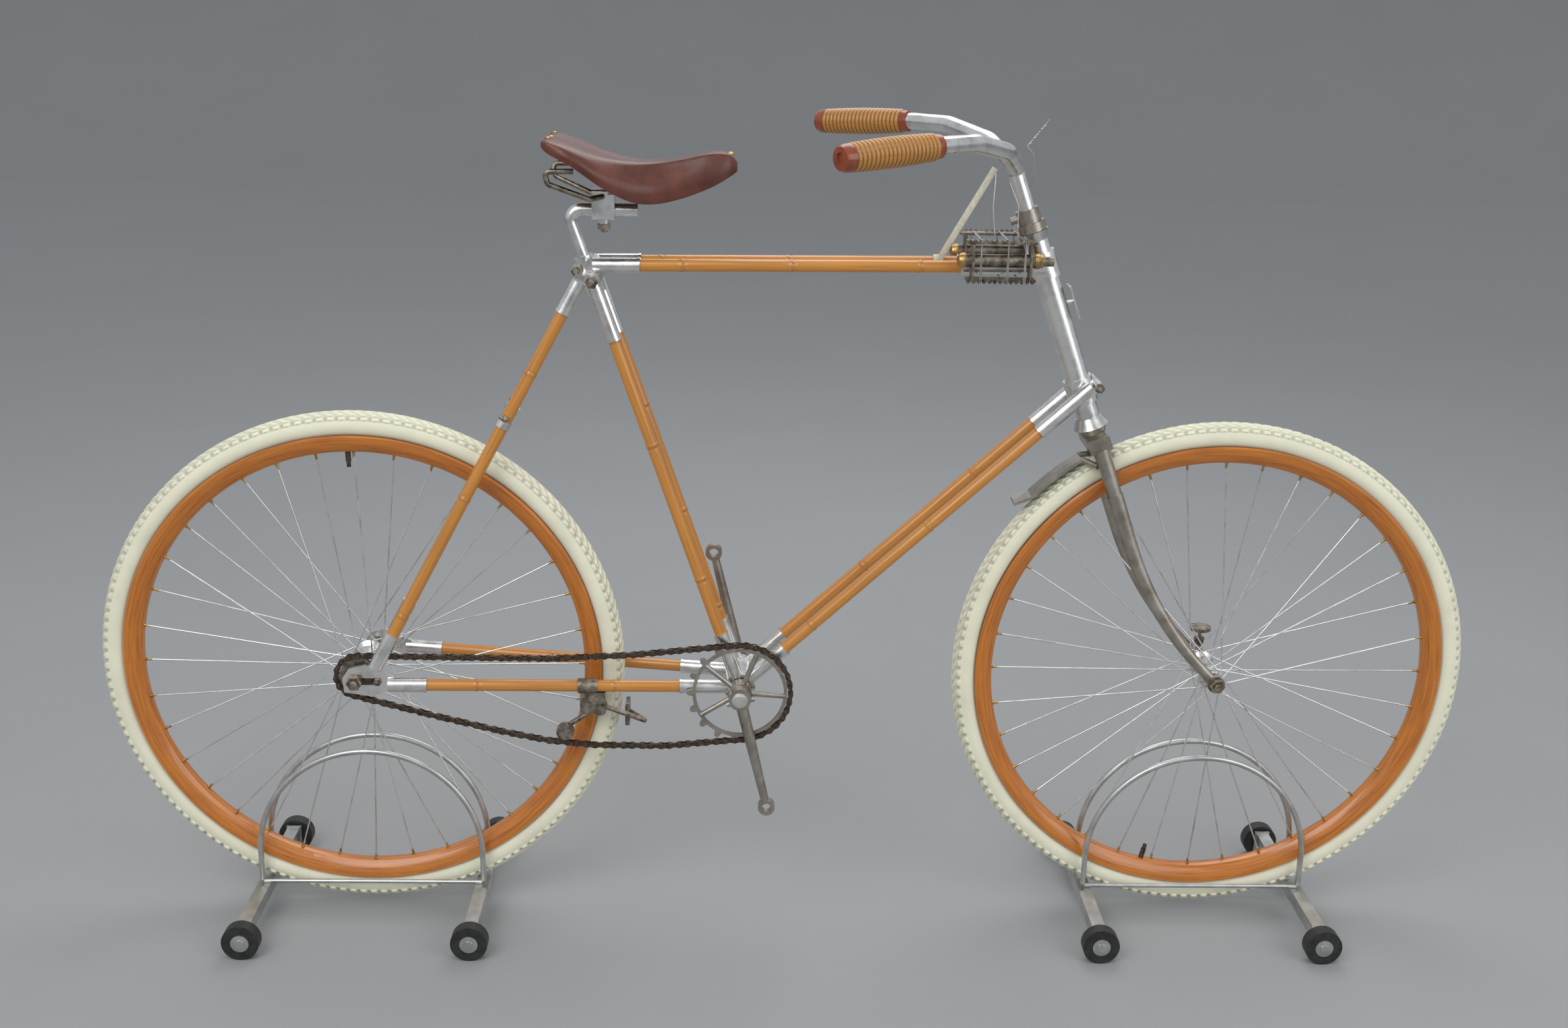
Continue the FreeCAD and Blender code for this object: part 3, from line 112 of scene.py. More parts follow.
class BicycleSizes(bpy.types.PropertyGroup):
    """Sizes of the pieces that are shaped here."""
    ridge_height: size("Bamboo ridge", "Height of the ridge at a bamboo node", 0.0008)
    node_spacing: size("Bamboo node spacing", "Mean distance between bamboo nodes", 0.165)
    tread_depth: size("Tread depth", "Depth of the grooves in the tyre tread", 0.0025)
    tread_pitches: bpy.props.IntProperty(name="Tread blocks", default=150,
                                         description="Chevrons round one tyre")
    nipple_length: size("Spoke nipple", "Length of a spoke nipple", 0.009)
    link_half: size("Chain link half height", "Half of the height of a chain link", 0.004)
    leather_thick: size("Leather", "Thickness of the saddle leather", 0.0045)
    grip_rings: bpy.props.IntProperty(name="Grip rings", default=20,
                                      description="Turns of cane on one grip")
    wire_radius: size("Tie wire radius", "Radius of the wire that ties up the pedals", 0.0007)


class BicycleColours(bpy.types.PropertyGroup):
    """Colours of the finishes."""
    bamboo: colour("Bamboo", "Varnished bamboo", (0.60, 0.245, 0.034))
    bamboo_dark: colour("Bamboo shade", "Darker streaks and nodes of the bamboo", (0.34, 0.120, 0.018))
    rim: colour("Rim", "Varnished wooden rim", (0.58, 0.190, 0.014))
    rim_dark: colour("Rim grain", "Dark grain of the rim", (0.34, 0.082, 0.009))
    tyre: colour("Tyre", "Cream rubber", (0.84, 0.82, 0.63))
    leather: colour("Leather", "Saddle leather", (0.155, 0.038, 0.020))
    cane: colour("Cane", "Wound cane of the grips", (0.60, 0.27, 0.050))
    cap: colour("Grip wood", "Turned wood of the grip ends", (0.33, 0.060, 0.014))
    floor: colour("Floor", "Studio floor", (0.34, 0.345, 0.345))


# ---------------------------------------------------------------- materials
def put(tree, socket, value):
    """Set an input, or link it when the value is another node's output."""
    if isinstance(value, bpy.types.NodeSocket):
        tree.links.new(value, socket)
    else:
        socket.default_value = value


def add(tree, kind, inputs=None, **settings):
    """A shader node with its settings and inputs."""
    made = tree.nodes.new("ShaderNode" + kind)
    for key, value in settings.items():
        setattr(made, key, value)
    for key, value in (inputs or {}).items():
        put(tree, made.inputs[key], value)
    return made


def ring_coordinates(tree, centre, position):
    """Coordinates that run round a wheel: along the ring, out from the axle, and across."""
    offset = add(tree, "VectorMath", {0: position, 1: tuple(centre)}, operation="SUBTRACT").outputs[0]
    parts = add(tree, "SeparateXYZ", {0: offset}).outputs
    turn = add(tree, "Math", {0: parts[2], 1: parts[0]}, operation="ARCTAN2").outputs[0]
    along = add(tree, "Math", {0: turn, 1: TYRE_OUTER}, operation="MULTIPLY").outputs[0]
    out = add(tree, "VectorMath", {0: offset}, operation="LENGTH").outputs["Value"]
    return add(tree, "CombineXYZ", {0: along, 1: out, 2: parts[1]}).outputs[0]


def finish(name, colours, stretch=(1, 1, 1), grain=60.0, rough=(0.3, 0.5), bump=0.15, metallic=0.0,
           coat=0.0, centre=None, use_uv=False, mark=None, contrast=(0.35, 0.65), fine=900.0, sheen=0.0):
    """A procedural finish: two tones mixed by stretched noise, uneven gloss and a fine bump. Where a mesh
    carries the mark attribute, the mark colour is mixed in: the darker node bands of the bamboo, and painted
    shade in the tread grooves of the tyres and between the turns of the cane.
    """
    made = bpy.data.materials.new(name)
    made.use_nodes = True
    tree = made.node_tree
    shader = tree.nodes["Principled BSDF"]
    spot = add(tree, "TexCoord").outputs["UV" if use_uv else "Object"]
    if centre is not None:
        spot = ring_coordinates(tree, centre, spot)
    mapped = add(tree, "Mapping", {"Vector": spot, "Scale": stretch}).outputs[0]
    broad = add(tree, "TexNoise", {"Vector": mapped, "Scale": grain, "Detail": 6.0, "Roughness": 0.6})
    close = add(tree, "TexNoise", {"Vector": mapped, "Scale": fine, "Detail": 3.0})
    ramp = add(tree, "ValToRGB", {"Fac": broad.outputs["Fac"]})
    ramp.color_ramp.elements[0].position = contrast[0]
    ramp.color_ramp.elements[0].color = (*colours[1], 1)
    ramp.color_ramp.elements[1].position = contrast[1]
    ramp.color_ramp.elements[1].color = (*colours[0], 1)
    tone = ramp.outputs["Color"]
    # The mark colour: the real node colour on bamboo; painted shade in the tyre grooves and between the cane
    # turns.
    if mark is not None:
        spread = add(tree, "Attribute", attribute_name="mark").outputs["Fac"]
        blend = add(tree, "Mix", {"Factor": spread}, data_type="RGBA")
        put(tree, blend.inputs[6], tone)
        put(tree, blend.inputs[7], (*mark, 1))
        tone = blend.outputs[2]
    put(tree, shader.inputs["Base Color"], tone)
    gloss = add(tree, "MapRange", {"Value": broad.outputs["Fac"], "From Min": 0.3, "From Max": 0.7,
                                   "To Min": rough[0], "To Max": rough[1]})
    put(tree, shader.inputs["Roughness"], gloss.outputs[0])
    relief = add(tree, "Bump", {"Height": close.outputs["Fac"], "Strength": bump, "Distance": 0.0004})
    put(tree, shader.inputs["Normal"], relief.outputs[0])
    shader.inputs["Metallic"].default_value = metallic
    shader.inputs["Coat Weight"].default_value = coat
    shader.inputs["Coat Roughness"].default_value = 0.12
    shader.inputs["Sheen Weight"].default_value = sheen
    return made


def make_finishes(tones):
    """Every finish of the bicycle, by name."""
    rim = {"colours": (tones.rim, tones.rim_dark), "stretch": (1, 22, 22), "grain": 14.0,
           "rough": (0.25, 0.38), "bump": 0.06, "coat": 0.6, "fine": 120.0, "contrast": (0.25, 0.6)}
    return {
        "bamboo": finish("varnished bamboo", (tones.bamboo, tones.bamboo_dark), (2, 9, 1), 4.0,
                         (0.25, 0.4), 0.10, coat=0.6, use_uv=True, mark=tones.bamboo_dark,
                         contrast=(0.22, 0.55), fine=60.0),
        "rear_rim": finish("rear rim wood", centre=REAR_AXLE, **rim),
        "front_rim": finish("front rim wood", centre=FRONT_AXLE, **rim),
        # The tyre's mark colour, 0.62 of the cream, is painted shade in the grooves of the tread.
        "tyre": finish("cream rubber", (tones.tyre, tuple(v * 0.88 for v in tones.tyre)), grain=22.0,
                       rough=(0.55, 0.75), bump=0.12, mark=tuple(v * 0.62 for v in tones.tyre),
                       contrast=(0.2, 0.6)),
        "nickel": finish("polished metal", ((0.78, 0.78, 0.76), (0.56, 0.55, 0.52)), grain=45.0,
                         rough=(0.20, 0.36), bump=0.05, metallic=1.0, contrast=(0.25, 0.55)),
        "tarnished_nickel": finish("tarnished nickel", ((0.45, 0.42, 0.37), (0.30, 0.26, 0.21)), grain=38.0,
                                   rough=(0.30, 0.46), bump=0.10, metallic=1.0, contrast=(0.3, 0.62)),
        "dark_steel": finish("worn steel", ((0.40, 0.36, 0.29), (0.13, 0.10, 0.07)), grain=110.0,
                             rough=(0.30, 0.58), bump=0.22, metallic=1.0),
        "chain_steel": finish("oiled chain steel", ((0.15, 0.11, 0.08), (0.045, 0.032, 0.024)), grain=240.0,
                              rough=(0.34, 0.62), bump=0.25, metallic=0.85),
        "stand_steel": finish("zinc plated stand steel", ((0.62, 0.63, 0.61), (0.48, 0.49, 0.47)),
                              grain=40.0, rough=(0.30, 0.44), bump=0.08, metallic=1.0),
        "roller_rubber": finish("black roller rubber", ((0.028, 0.028, 0.028), (0.010, 0.010, 0.010)),
                                grain=120.0, rough=(0.38, 0.60), bump=0.25),
        "leather": finish("saddle leather", (tones.leather, tuple(v * 0.45 for v in tones.leather)),
                          grain=28.0, rough=(0.30, 0.48), bump=0.45, coat=0.12, fine=700.0,
                          contrast=(0.3, 0.7)),
        # The cane's mark colour, near black, is painted shade in the grooves between the turns.
        "cane": finish("wound cane", (tones.cane, tuple(v * 0.55 for v in tones.cane)), (4, 40, 1), 5.0,
                       (0.30, 0.45), 0.15, coat=0.4, use_uv=True, mark=tuple(v * 0.16 for v in tones.cane),
                       fine=80.0),
        "cap_wood": finish("turned grip wood", (tones.cap, tuple(v * 0.5 for v in tones.cap)), grain=50.0,
                           rough=(0.28, 0.42), bump=0.10, coat=0.5),
        "brass": finish("dull brass", ((0.62, 0.42, 0.16), (0.34, 0.21, 0.08)), grain=120.0,
                        rough=(0.25, 0.45), bump=0.1, metallic=1.0),
        "webbing": finish("cream cotton strap", ((0.74, 0.70, 0.56), (0.58, 0.54, 0.41)), grain=260.0,
                          rough=(0.8, 0.95), bump=0.5, sheen=0.3),
    }


FINISHES = {}


# ---------------------------------------------------------------- forms
class Form:
    """Vertices and faces of one piece, gathered from swept forms."""

    def __init__(self):
        self.points, self.faces, self.uvs, self.marks = [], [], [], []

    def sweep(self, path, radii, sides=16, marks=None, tangents=None, flat=1.0, hint=None):
        """A closed tube along a path, with a radius and a mark for each point."""
        path = [Vector(point) for point in path]
        count = len(path)
        if tangents is None:
            tangents = [(path[min(i + 1, count - 1)] - path[max(i - 1, 0)]).normalized()
                        for i in range(count)]
        if hint:
            helper = Vector(hint)
        else:
            helper = Vector((0, 1, 0)) if abs(tangents[0].y) < 0.9 else Vector((1, 0, 0))
        first = len(self.points)
        travelled = [0.0]
        for before, after in zip(path, path[1:]):
            travelled.append(travelled[-1] + (after - before).length)
        for index, (place, radius, tangent) in enumerate(zip(path, radii, tangents)):
            across = (helper - tangent * helper.dot(tangent)).normalized()
            helper = across
            other = tangent.cross(across)
            for side in range(sides):
                turn = 2 * math.pi * side / sides
                out = across * math.cos(turn) + other * (math.sin(turn) * flat)
                self.points.append(place + out * radius)
                self.marks.append(marks[index] if marks else 0.0)
        for ring in range(count - 1):
            for side in range(sides):
                after = (side + 1) % sides
                low, high = first + ring * sides, first + (ring + 1) * sides
                self.faces.append((low + side, low + after, high + after, high + side))
                u0, u1 = travelled[ring], travelled[ring + 1]
                v0, v1 = side / sides, (side + 1) / sides
                self.uvs.append(((u0, v0), (u0, v1), (u1, v1), (u1, v0)))
        last = first + (count - 1) * sides
        for face in (tuple(first + side for side in reversed(range(sides))),
                     tuple(last + side for side in range(sides))):
            self.faces.append(face)
            self.uvs.append(tuple((0.0, corner / sides) for corner in range(sides)))

    def lathe(self, base, axis, profile, sides=24, marks=None, flat=1.0):
        """A turned piece: profile gives (distance along the axis, radius)."""
        axis = Vector(axis).normalized()
        self.sweep([base + axis * along for along, _ in profile], [radius for _, radius in profile], sides,
                   marks, [axis] * len(profile), flat)

    def nut(self, centre, axis, radius, thick, sides=6):
        """A nut or bolt head with chamfered faces and a stub of thread."""
        half = thick / 2
        self.lathe(centre, axis, [(-half, radius * 0.9), (-half * 0.75, radius), (half * 0.75, radius),
                                  (half, radius * 0.88)], sides)
        self.lathe(centre, axis, [(-half, radius * 0.5), (half * 1.7, radius * 0.5),
                                  (half * 1.9, radius * 0.4)], 12)

    def plate(self, outline, low, high):
        """An outline extruded across the bicycle between two values of y."""
        first, count = len(self.points), len(outline)
        for y in (low, high):
            for x, z in outline:
                self.points.append(Vector((x, y, z)))
                self.marks.append(0.0)
        self.faces.append(tuple(first + i for i in range(count)))
        self.faces.append(tuple(first + count + i for i in reversed(range(count))))
        self.uvs += [tuple((0.0, 0.0) for _ in range(count))] * 2
        for i in range(count):
            j = (i + 1) % count
            self.faces.append((first + j, first + i, first + count + i, first + count + j))
            self.uvs.append(((0, 0), (0, 1), (1, 1), (1, 0)))

    def build(self, name, finish_name, body, slot, replaced=(), sharp=38.0):
        """Make the object, give it its finish and let it ride on a body."""
        mesh = bpy.data.meshes.new(name)
        mesh.from_pydata([tuple(point) for point in self.points], [], self.faces)
        layer = mesh.uv_layers.new(name="UVMap")
        layer.data.foreach_set("uv", [value for face in self.uvs for corner in face for value in corner])
        marks = mesh.attributes.new("mark", "FLOAT", "POINT")
        marks.data.foreach_set("value", self.marks)
        mesh.polygons.foreach_set("use_smooth", [True] * len(mesh.polygons))
        mesh.set_sharp_from_angle(angle=math.radians(sharp))
        mesh.validate()
        mesh.materials.append(FINISHES[finish_name])
        piece = bpy.data.objects.new(name, mesh)
        bpy.context.scene.collection.objects.link(piece)
        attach(piece, body)
        if replaced:
            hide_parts(*replaced)
        return piece


def tube_axis(node, side):
    """The end points and radius of the straight tube of a node on one side of the bicycle."""
    points = np.array([v.co for v in NODES[node].data.vertices])
    points = points[points[:, 1] * side > 0]
    centre = points.mean(axis=0)
    way = np.linalg.svd(points - centre, full_matrices=False)[2][0]
    way = way if way[0] > 0 else -way
    along = (points - centre) @ way
    start = points[along < along.min() + 0.0005].mean(axis=0)
    end = points[along > along.max() - 0.0005].mean(axis=0)
    off = points[along < along.min() + 0.0005] - start
    return Vector(start), Vector(end), float(np.linalg.norm(off, axis=1).max())


# ---------------------------------------------------------------- operators
class Piece(bpy.types.Operator):
    """Base of the operators that make a piece."""
    bl_idname = "bicycle.piece"
    bl_label = "Piece"
    bl_options = {"REGISTER", "UNDO"}

    def execute(self, context):
        """Make the piece with the scene's sizes and colours."""
        self.make(context.scene.bicycle_sizes, context.scene.bicycle_colours)
        return {"FINISHED"}

    def make(self, sizes, tones):
        """Make the piece."""
        raise NotImplementedError


class BICYCLE_OT_metalwork(Piece):
    """Finish every piece that keeps its shape from the frame"""
    bl_idname = "bicycle.metalwork"
    bl_label = "Metalwork and rims"

    def make(self, sizes, tones):
        FINISHES.update(make_finishes(tones))
        special = {"rear_rim": "rear_rim", "front_rim": "front_rim", "left_crank": "tarnished_nickel",
                   "right_crank": "tarnished_nickel", "chain_ring": "tarnished_nickel",
                   "head_clamp": "tarnished_nickel", "cyclometer": "dark_steel", "rear_valve": "chain_steel",
                   "front_valve": "chain_steel", "front_axle": "dark_steel", "rear_axle": "dark_steel"}
        for name, piece in NODES.items():
            slot = SLOT_OF[name]
            piece.data.materials.clear()
            piece.data.materials.append(FINISHES[special.get(name, slot if slot in FINISHES else "nickel")])


class BICYCLE_OT_bamboo(Piece):
    """Bamboo culms with their ridged nodes"""
    bl_idname = "bicycle.bamboo"
    bl_label = "Bamboo tubes"

    def make(self, sizes, tones):
        drawn = random.Random(4)
        for node in ("top_tubes", "seat_tubes", "down_tubes", "chainstays", "seatstays"):
            form = Form()
            for side in (-1, 1):
                start, end, radius = tube_axis(node, side)
                length = (end - start).length
                ridges, at = [], 0.05 + drawn.random() * sizes.node_spacing
                while at < length - 0.05:
                    ridges.append(at)
                    at += sizes.node_spacing * (0.8 + 0.5 * drawn.random())
                steps = set(np.linspace(0, length, 24).tolist())
                for ridge in ridges:
                    steps.update((ridge + offset * MM for offset in np.arange(-9, 9.1, 1.2)))
                steps = sorted(steps)
                path, radii, marks = [], [], []
                for step in steps:
                    swell, shade = 0.0, 0.0
                    for ridge in ridges:
                        off = (step - ridge) / MM
                        swell += math.exp(-(off / 1.8) ** 2) - 0.5 * math.exp(-((off - 4.2) / 1.6) ** 2)
                        shade += 0.45 * math.exp(-((off - 1.5) / 2.2) ** 2)
                    path.append(start + (end - start) * (step / length))
                    radii.append(radius + sizes.ridge_height * swell)
                    marks.append(min(1.0, shade))
                form.sweep(path, radii, 24, marks)
            form.build(node + "_bamboo", "bamboo", "frame", "bamboo", (node,))


class BICYCLE_OT_tyres(Piece):
    """Cream tyres with a chevron tread and shoulder blocks"""
    bl_idname = "bicycle.tyres"
    bl_label = "Tyres"

    def make(self, sizes, tones):
        pitches, steps = sizes.tread_pitches, 6
        round_count = pitches * steps
        tread = math.radians(66)
        angles = np.concatenate([np.linspace(-tread, tread, 31),
                                 np.linspace(tread, 2 * math.pi - tread, 17)[1:-1]])
        for wheel, axle in (("rear", REAR_AXLE), ("front", FRONT_AXLE)):
            form = Form()
            across = len(angles)
            ring = TYRE_OUTER - TYRE_SECTION
            for i in range(round_count):
                turn = 2 * math.pi * i / round_count
                for angle in angles:
                    folded = abs((angle + math.pi) % (2 * math.pi) - math.pi)
                    lift = 0.0
                    if folded <= tread + 1e-6:
                        phase = (i / steps + folded * 1.6) % 1.0
                        block = 1.0 if phase < 0.55 else 0.0
                        shoulder = math.radians(44) < folded < math.radians(60)
                        gap = math.radians(36) < folded <= math.radians(44)
                        lift = 0.0 if gap or folded >= math.radians(60) else block
                        if shoulder:
                            lift = 1.0 if (i / steps) % 1.0 < 0.6 else 0.0
                    section = TYRE_SECTION - sizes.tread_depth * (1 - lift)
                    out = ring + section * math.cos(angle)
                    form.points.append(Vector((axle.x + out * math.cos(turn), section * math.sin(angle),
                                               axle.z + out * math.sin(turn))))
                    # Painted shade: the recessed grooves of the tread and the gap beside the shoulder blocks
                    # get the mark, fainter in the middle of the tread and none on the sidewalls.
                    shade = 1.0 if folded > math.radians(36) else 0.45
                    form.marks.append((1 - lift) * shade if folded < math.radians(60) else 0.0)
            for i in range(round_count):
                j = (i + 1) % round_count
                for k in range(across):
                    m = (k + 1) % across
                    form.faces.append((i * across + k, i * across + m, j * across + m, j * across + k))
                    form.uvs.append(((i, k), (i, k + 1), (i + 1, k + 1), (i + 1, k)))
            form.build(wheel + "_tyre_tread", "tyre", wheel + "_wheel", "tyre", (wheel + "_tyre",), 50.0)


class BICYCLE_OT_nipples(Piece):
    """Spoke nipples at the rims"""
    bl_idname = "bicycle.nipples"
    bl_label = "Spoke nipples"

    def make(self, sizes, tones):
        for wheel, axle in (("rear", REAR_AXLE), ("front", FRONT_AXLE)):
            form = Form()
            points = np.array([v.co for v in NODES[wheel + "_rim"].data.vertices])
            inner = float(np.hypot(points[:, 0] - axle.x, points[:, 2] - axle.z).min())
            for index in range(SPOKES):
                turn = 2 * math.pi * index / SPOKES
                out = Vector((math.cos(turn), 0, math.sin(turn)))
                base = axle + out * (inner + MM) + Vector((0, (-1 if index % 2 else 1) * 2.6 * MM, 0))
                form.lathe(base, -out, [(0, 2.6 * MM), (0.0022, 2.6 * MM), (0.0026, 1.7 * MM),
                                        (sizes.nipple_length, 1.5 * MM)], 10)
            form.build(wheel + "_nipples", "brass", wheel + "_wheel", "nickel")


UPPER_SAG = ((256.0, 396.0), (369.0, 402.5))
LOWER_SAG = ((105.0, 310.0), (190.0, 289.0), (254.0, 276.0), (317.0, 269.7), (414.0, 269.2))
SPROCKET_RADIUS = CHAIN_PITCH / (2 * math.sin(math.pi / SPROCKET_TEETH))
RING_RADIUS = CHAIN_PITCH / (2 * math.sin(math.pi / RING_TEETH))


def chain_loop():
    """Points of the chain's centre line, closed, as (x, z)."""
    rear, front = (REAR_AXLE.x, REAR_AXLE.z), (BRACKET.x, BRACKET.z)
    upper = [(REAR_AXLE.x + x * MM, z * MM) for x, z in UPPER_SAG]
    lower = [(REAR_AXLE.x + x * MM, z * MM) for x, z in LOWER_SAG]

    def touch(centre, radius, point, sign):
        dx, dz = point[0] - centre[0], point[1] - centre[1]
        return math.atan2(dz, dx) + sign * math.acos(radius / math.hypot(dx, dz))

    def arc(centre, radius, start, end):
        span = (start - end) % (2 * math.pi)
        turns = [start - span * share for share in np.linspace(0, 1, 60)]
        return [(centre[0] + radius * math.cos(turn), centre[1] + radius * math.sin(turn)) for turn in turns]

    front_arc = arc(front, RING_RADIUS, touch(front, RING_RADIUS, upper[-1], -1),
                    touch(front, RING_RADIUS, lower[-1], 1))
    rear_arc = arc(rear, SPROCKET_RADIUS, touch(rear, SPROCKET_RADIUS, lower[0], -1),
                   touch(rear, SPROCKET_RADIUS, upper[0], 1))
    return upper + front_arc + lower[::-1] + rear_arc


def link_outline(start, end, radius, waist):
    """The figure-of-eight outline of one link between two pins."""
    along = (end - start).normalized()
    normal = Vector((-along.y, along.x))
    outline = []
    for centre, sign in ((end, 1), (start, -1)):
        for turn in np.linspace(-100, 100, 7):
            angle = math.radians(turn)
            spot = centre + (along * math.cos(angle) + normal * math.sin(angle)) * (radius * sign)
            outline.append((spot.x, spot.y))
        side = (start + end) / 2 + normal * (waist * sign)
        outline.append((side.x, side.y))
    return outline


class BICYCLE_OT_chain(Piece):
    """Block chain with its side plates and rivets"""
    bl_idname = "bicycle.chain"
    bl_label = "Block chain"

    def make(self, sizes, tones):
        loop = chain_loop()
        loop.append(loop[0])
        lengths = np.concatenate([[0], np.cumsum([math.dist(a, b) for a, b in zip(loop, loop[1:])])])
        pins = 2 * round(lengths[-1] / CHAIN_PITCH)
        wanted = np.linspace(0, lengths[-1], pins + 1)[:-1]
        xs = np.interp(wanted, lengths, [p[0] for p in loop])
        zs = np.interp(wanted, lengths, [p[1] for p in loop])
        places = [Vector((x, z)) for x, z in zip(xs, zs)]
        form = Form()
        radius, waist = sizes.link_half, sizes.link_half * 0.62
        for index, start in enumerate(places):
            end = places[(index + 1) % pins]
            centre = (start + end) / 2
            outline = link_outline(start, end, radius * 0.94, waist)
            if index % 2:
                for low in (-4.0, 2.6):
                    form.plate(outline, CHAIN_Y + low * MM, CHAIN_Y + (low + 1.4) * MM)
            else:
                from_sprocket = math.hypot(centre.x - REAR_AXLE.x, centre.y - REAR_AXLE.z)
                from_ring = math.hypot(centre.x - BRACKET.x, centre.y - BRACKET.z)
                wrapped = from_sprocket < SPROCKET_RADIUS + 0.006 or from_ring < RING_RADIUS + 0.006
                spans = ((-2.5, -2.2), (2.2, 2.5)) if wrapped else ((-2.5, 2.5),)
                for low, high in spans:
                    form.plate(outline, CHAIN_Y + low * MM, CHAIN_Y + high * MM)
            for side in (-1, 1):
                form.lathe(Vector((start.x, CHAIN_Y + side * 3.9 * MM, start.y)), (0, side, 0),
                           [(0, 0.0019), (0.0006, 0.0017), (0.0009, 0.0009)], 8)
        form.build("block_chain", "chain_steel", "frame", "chain_steel", ("chain",))


SADDLE_STATIONS = np.array((
    # x from the rear axle, middle of the top, lower edge, half width above, half width of the edge
    (262.0, 1083.0, 1074.0, 60.0, 62.0),
    (272.0, 1084.0, 1066.0, 68.0, 70.0),
    (300.0, 1076.0, 1052.0, 70.0, 76.0),
    (335.0, 1063.0, 1027.0, 58.0, 68.0),
    (370.0, 1056.0, 1008.0, 40.0, 52.0),
    (400.0, 1055.0, 1004.0, 28.0, 40.0),
    (435.0, 1060.0, 1011.0, 23.0, 32.0),
    (470.0, 1067.0, 1024.0, 20.0, 25.0),
    (492.0, 1066.0, 1036.0, 15.0, 18.0),
    (503.0, 1056.0, 1043.0, 7.0, 8.0),
))


def smooth_columns(table, count):
    """Rows of a table resampled on smooth curves through it."""
    at = np.linspace(0, len(table) - 1, count)
    rows = []
    for value in at:
        i = min(int(value), len(table) - 2)
        t = value - i
        p0, p1, p2 = table[max(i - 1, 0)], table[i], table[i + 1]
        p3 = table[min(i + 2, len(table) - 1)]
        rows.append(0.5 * (2 * p1 + (p2 - p0) * t + (2 * p0 - 5 * p1 + 4 * p2 - p3) * t ** 2
                           + (3 * p1 - p0 - 3 * p2 + p3) * t ** 3))
    return np.array(rows)


class BICYCLE_OT_saddle(Piece):
    """Leather saddle top with its skirt and rivets"""
    bl_idname = "bicycle.saddle"
    bl_label = "Saddle"

    def make(self, sizes, tones):
        form = Form()
        rows = smooth_columns(SADDLE_STATIONS, 64)
        across = 41
        for x, top, low, half_top, half_low in rows:
            control = np.array(((-half_low, low), (-half_low * 1.01, low + (top - low) * 0.4),
                                (-half_top, top - (top - low) * 0.22), (-half_top * 0.72, top - 1.5),
                                (0.0, top - 2.5), (half_top * 0.72, top - 1.5),
                                (half_top, top - (top - low) * 0.22),
                                (half_low * 1.01, low + (top - low) * 0.4), (half_low, low)))
            for y, z in smooth_columns(control, across):
                form.points.append(from_rear(x, y, z))
                form.marks.append(0.0)
        for i in range(len(rows) - 1):
            for k in range(across - 1):
                first = i * across + k
                form.faces.append((first, first + across, first + across + 1, first + 1))
                form.uvs.append(((i, k), (i + 1, k), (i + 1, k + 1), (i, k + 1)))
        piece = form.build("saddle_leather", "leather", "frame", "leather", ("saddle",))
        shell = piece.modifiers.new("Leather thickness", "SOLIDIFY")
        shell.thickness = sizes.leather_thick
        shell.offset = -1.0
        edge = piece.modifiers.new("Rounded edge", "BEVEL")
        edge.width = sizes.leather_thick * 0.4
        edge.segments = 2
        edge.limit_method = "ANGLE"
        bpy.context.view_layer.update()
        graph = bpy.context.evaluated_depsgraph_get()
        final = bpy.data.meshes.new_from_object(piece.evaluated_get(graph))
        piece.modifiers.clear()
        piece.data = final
        rivets = Form()
        for x, y, z in ((268, 40, 1083), (268, 0, 1081), (268, -40, 1083), (494, 6, 1064), (494, -6, 1064)):
            rivets.lathe(from_rear(x, y, z), (0, 0, 1),
                         [(-0.002, 0.0042), (0.0012, 0.0040), (0.0022, 0.0020)], 14)
        rivets.build("saddle_rivets", "brass", "frame", "nickel")


class BICYCLE_OT_grips(Piece):
    """Grips wound with cane, with turned wooden ends"""
    bl_idname = "bicycle.grips"
    bl_label = "Grips"

    def make(self, sizes, tones):
        wound, ends = Form(), Form()
        for side in (-1, 1):
            rear, front, _ = tube_axis("grips", side)
            way = rear - front
            length = way.length
            way.normalize()
            profile, marks = [], []
            count = sizes.grip_rings * 8
            for step in range(count + 1):
                share = step / count
                ripple = abs(math.sin(math.pi * sizes.grip_rings * share))
                belly = 0.0138 + 0.0030 * math.sin(math.pi * (0.12 + 0.70 * share))
                profile.append((length * share, belly + 0.0015 * ripple))
                # Painted shade: the grooves between the turns of cane are darkened through the mark
                # attribute.
                marks.append(max(0.0, 1.0 - ripple * 2.2))
            wound.lathe(front, way, profile, 28, marks)
            ends.lathe(front, way, [(-0.010, 0.0118), (-0.009, 0.0142), (-0.002, 0.0150),
                                    (0.0006, 0.0146)], 28)
            ends.lathe(rear, way, [(-0.0006, 0.0152), (0.001, 0.0166), (0.009, 0.0160), (0.014, 0.0138),
                                   (0.0145, 0.0070), (0.012, 0.0060)], 28)
        wound.build("cane_grips", "cane", "steering", "cane", ("grips",))
        ends.build("grip_ends", "cap_wood", "steering", "cap_wood", ("grip_caps",))


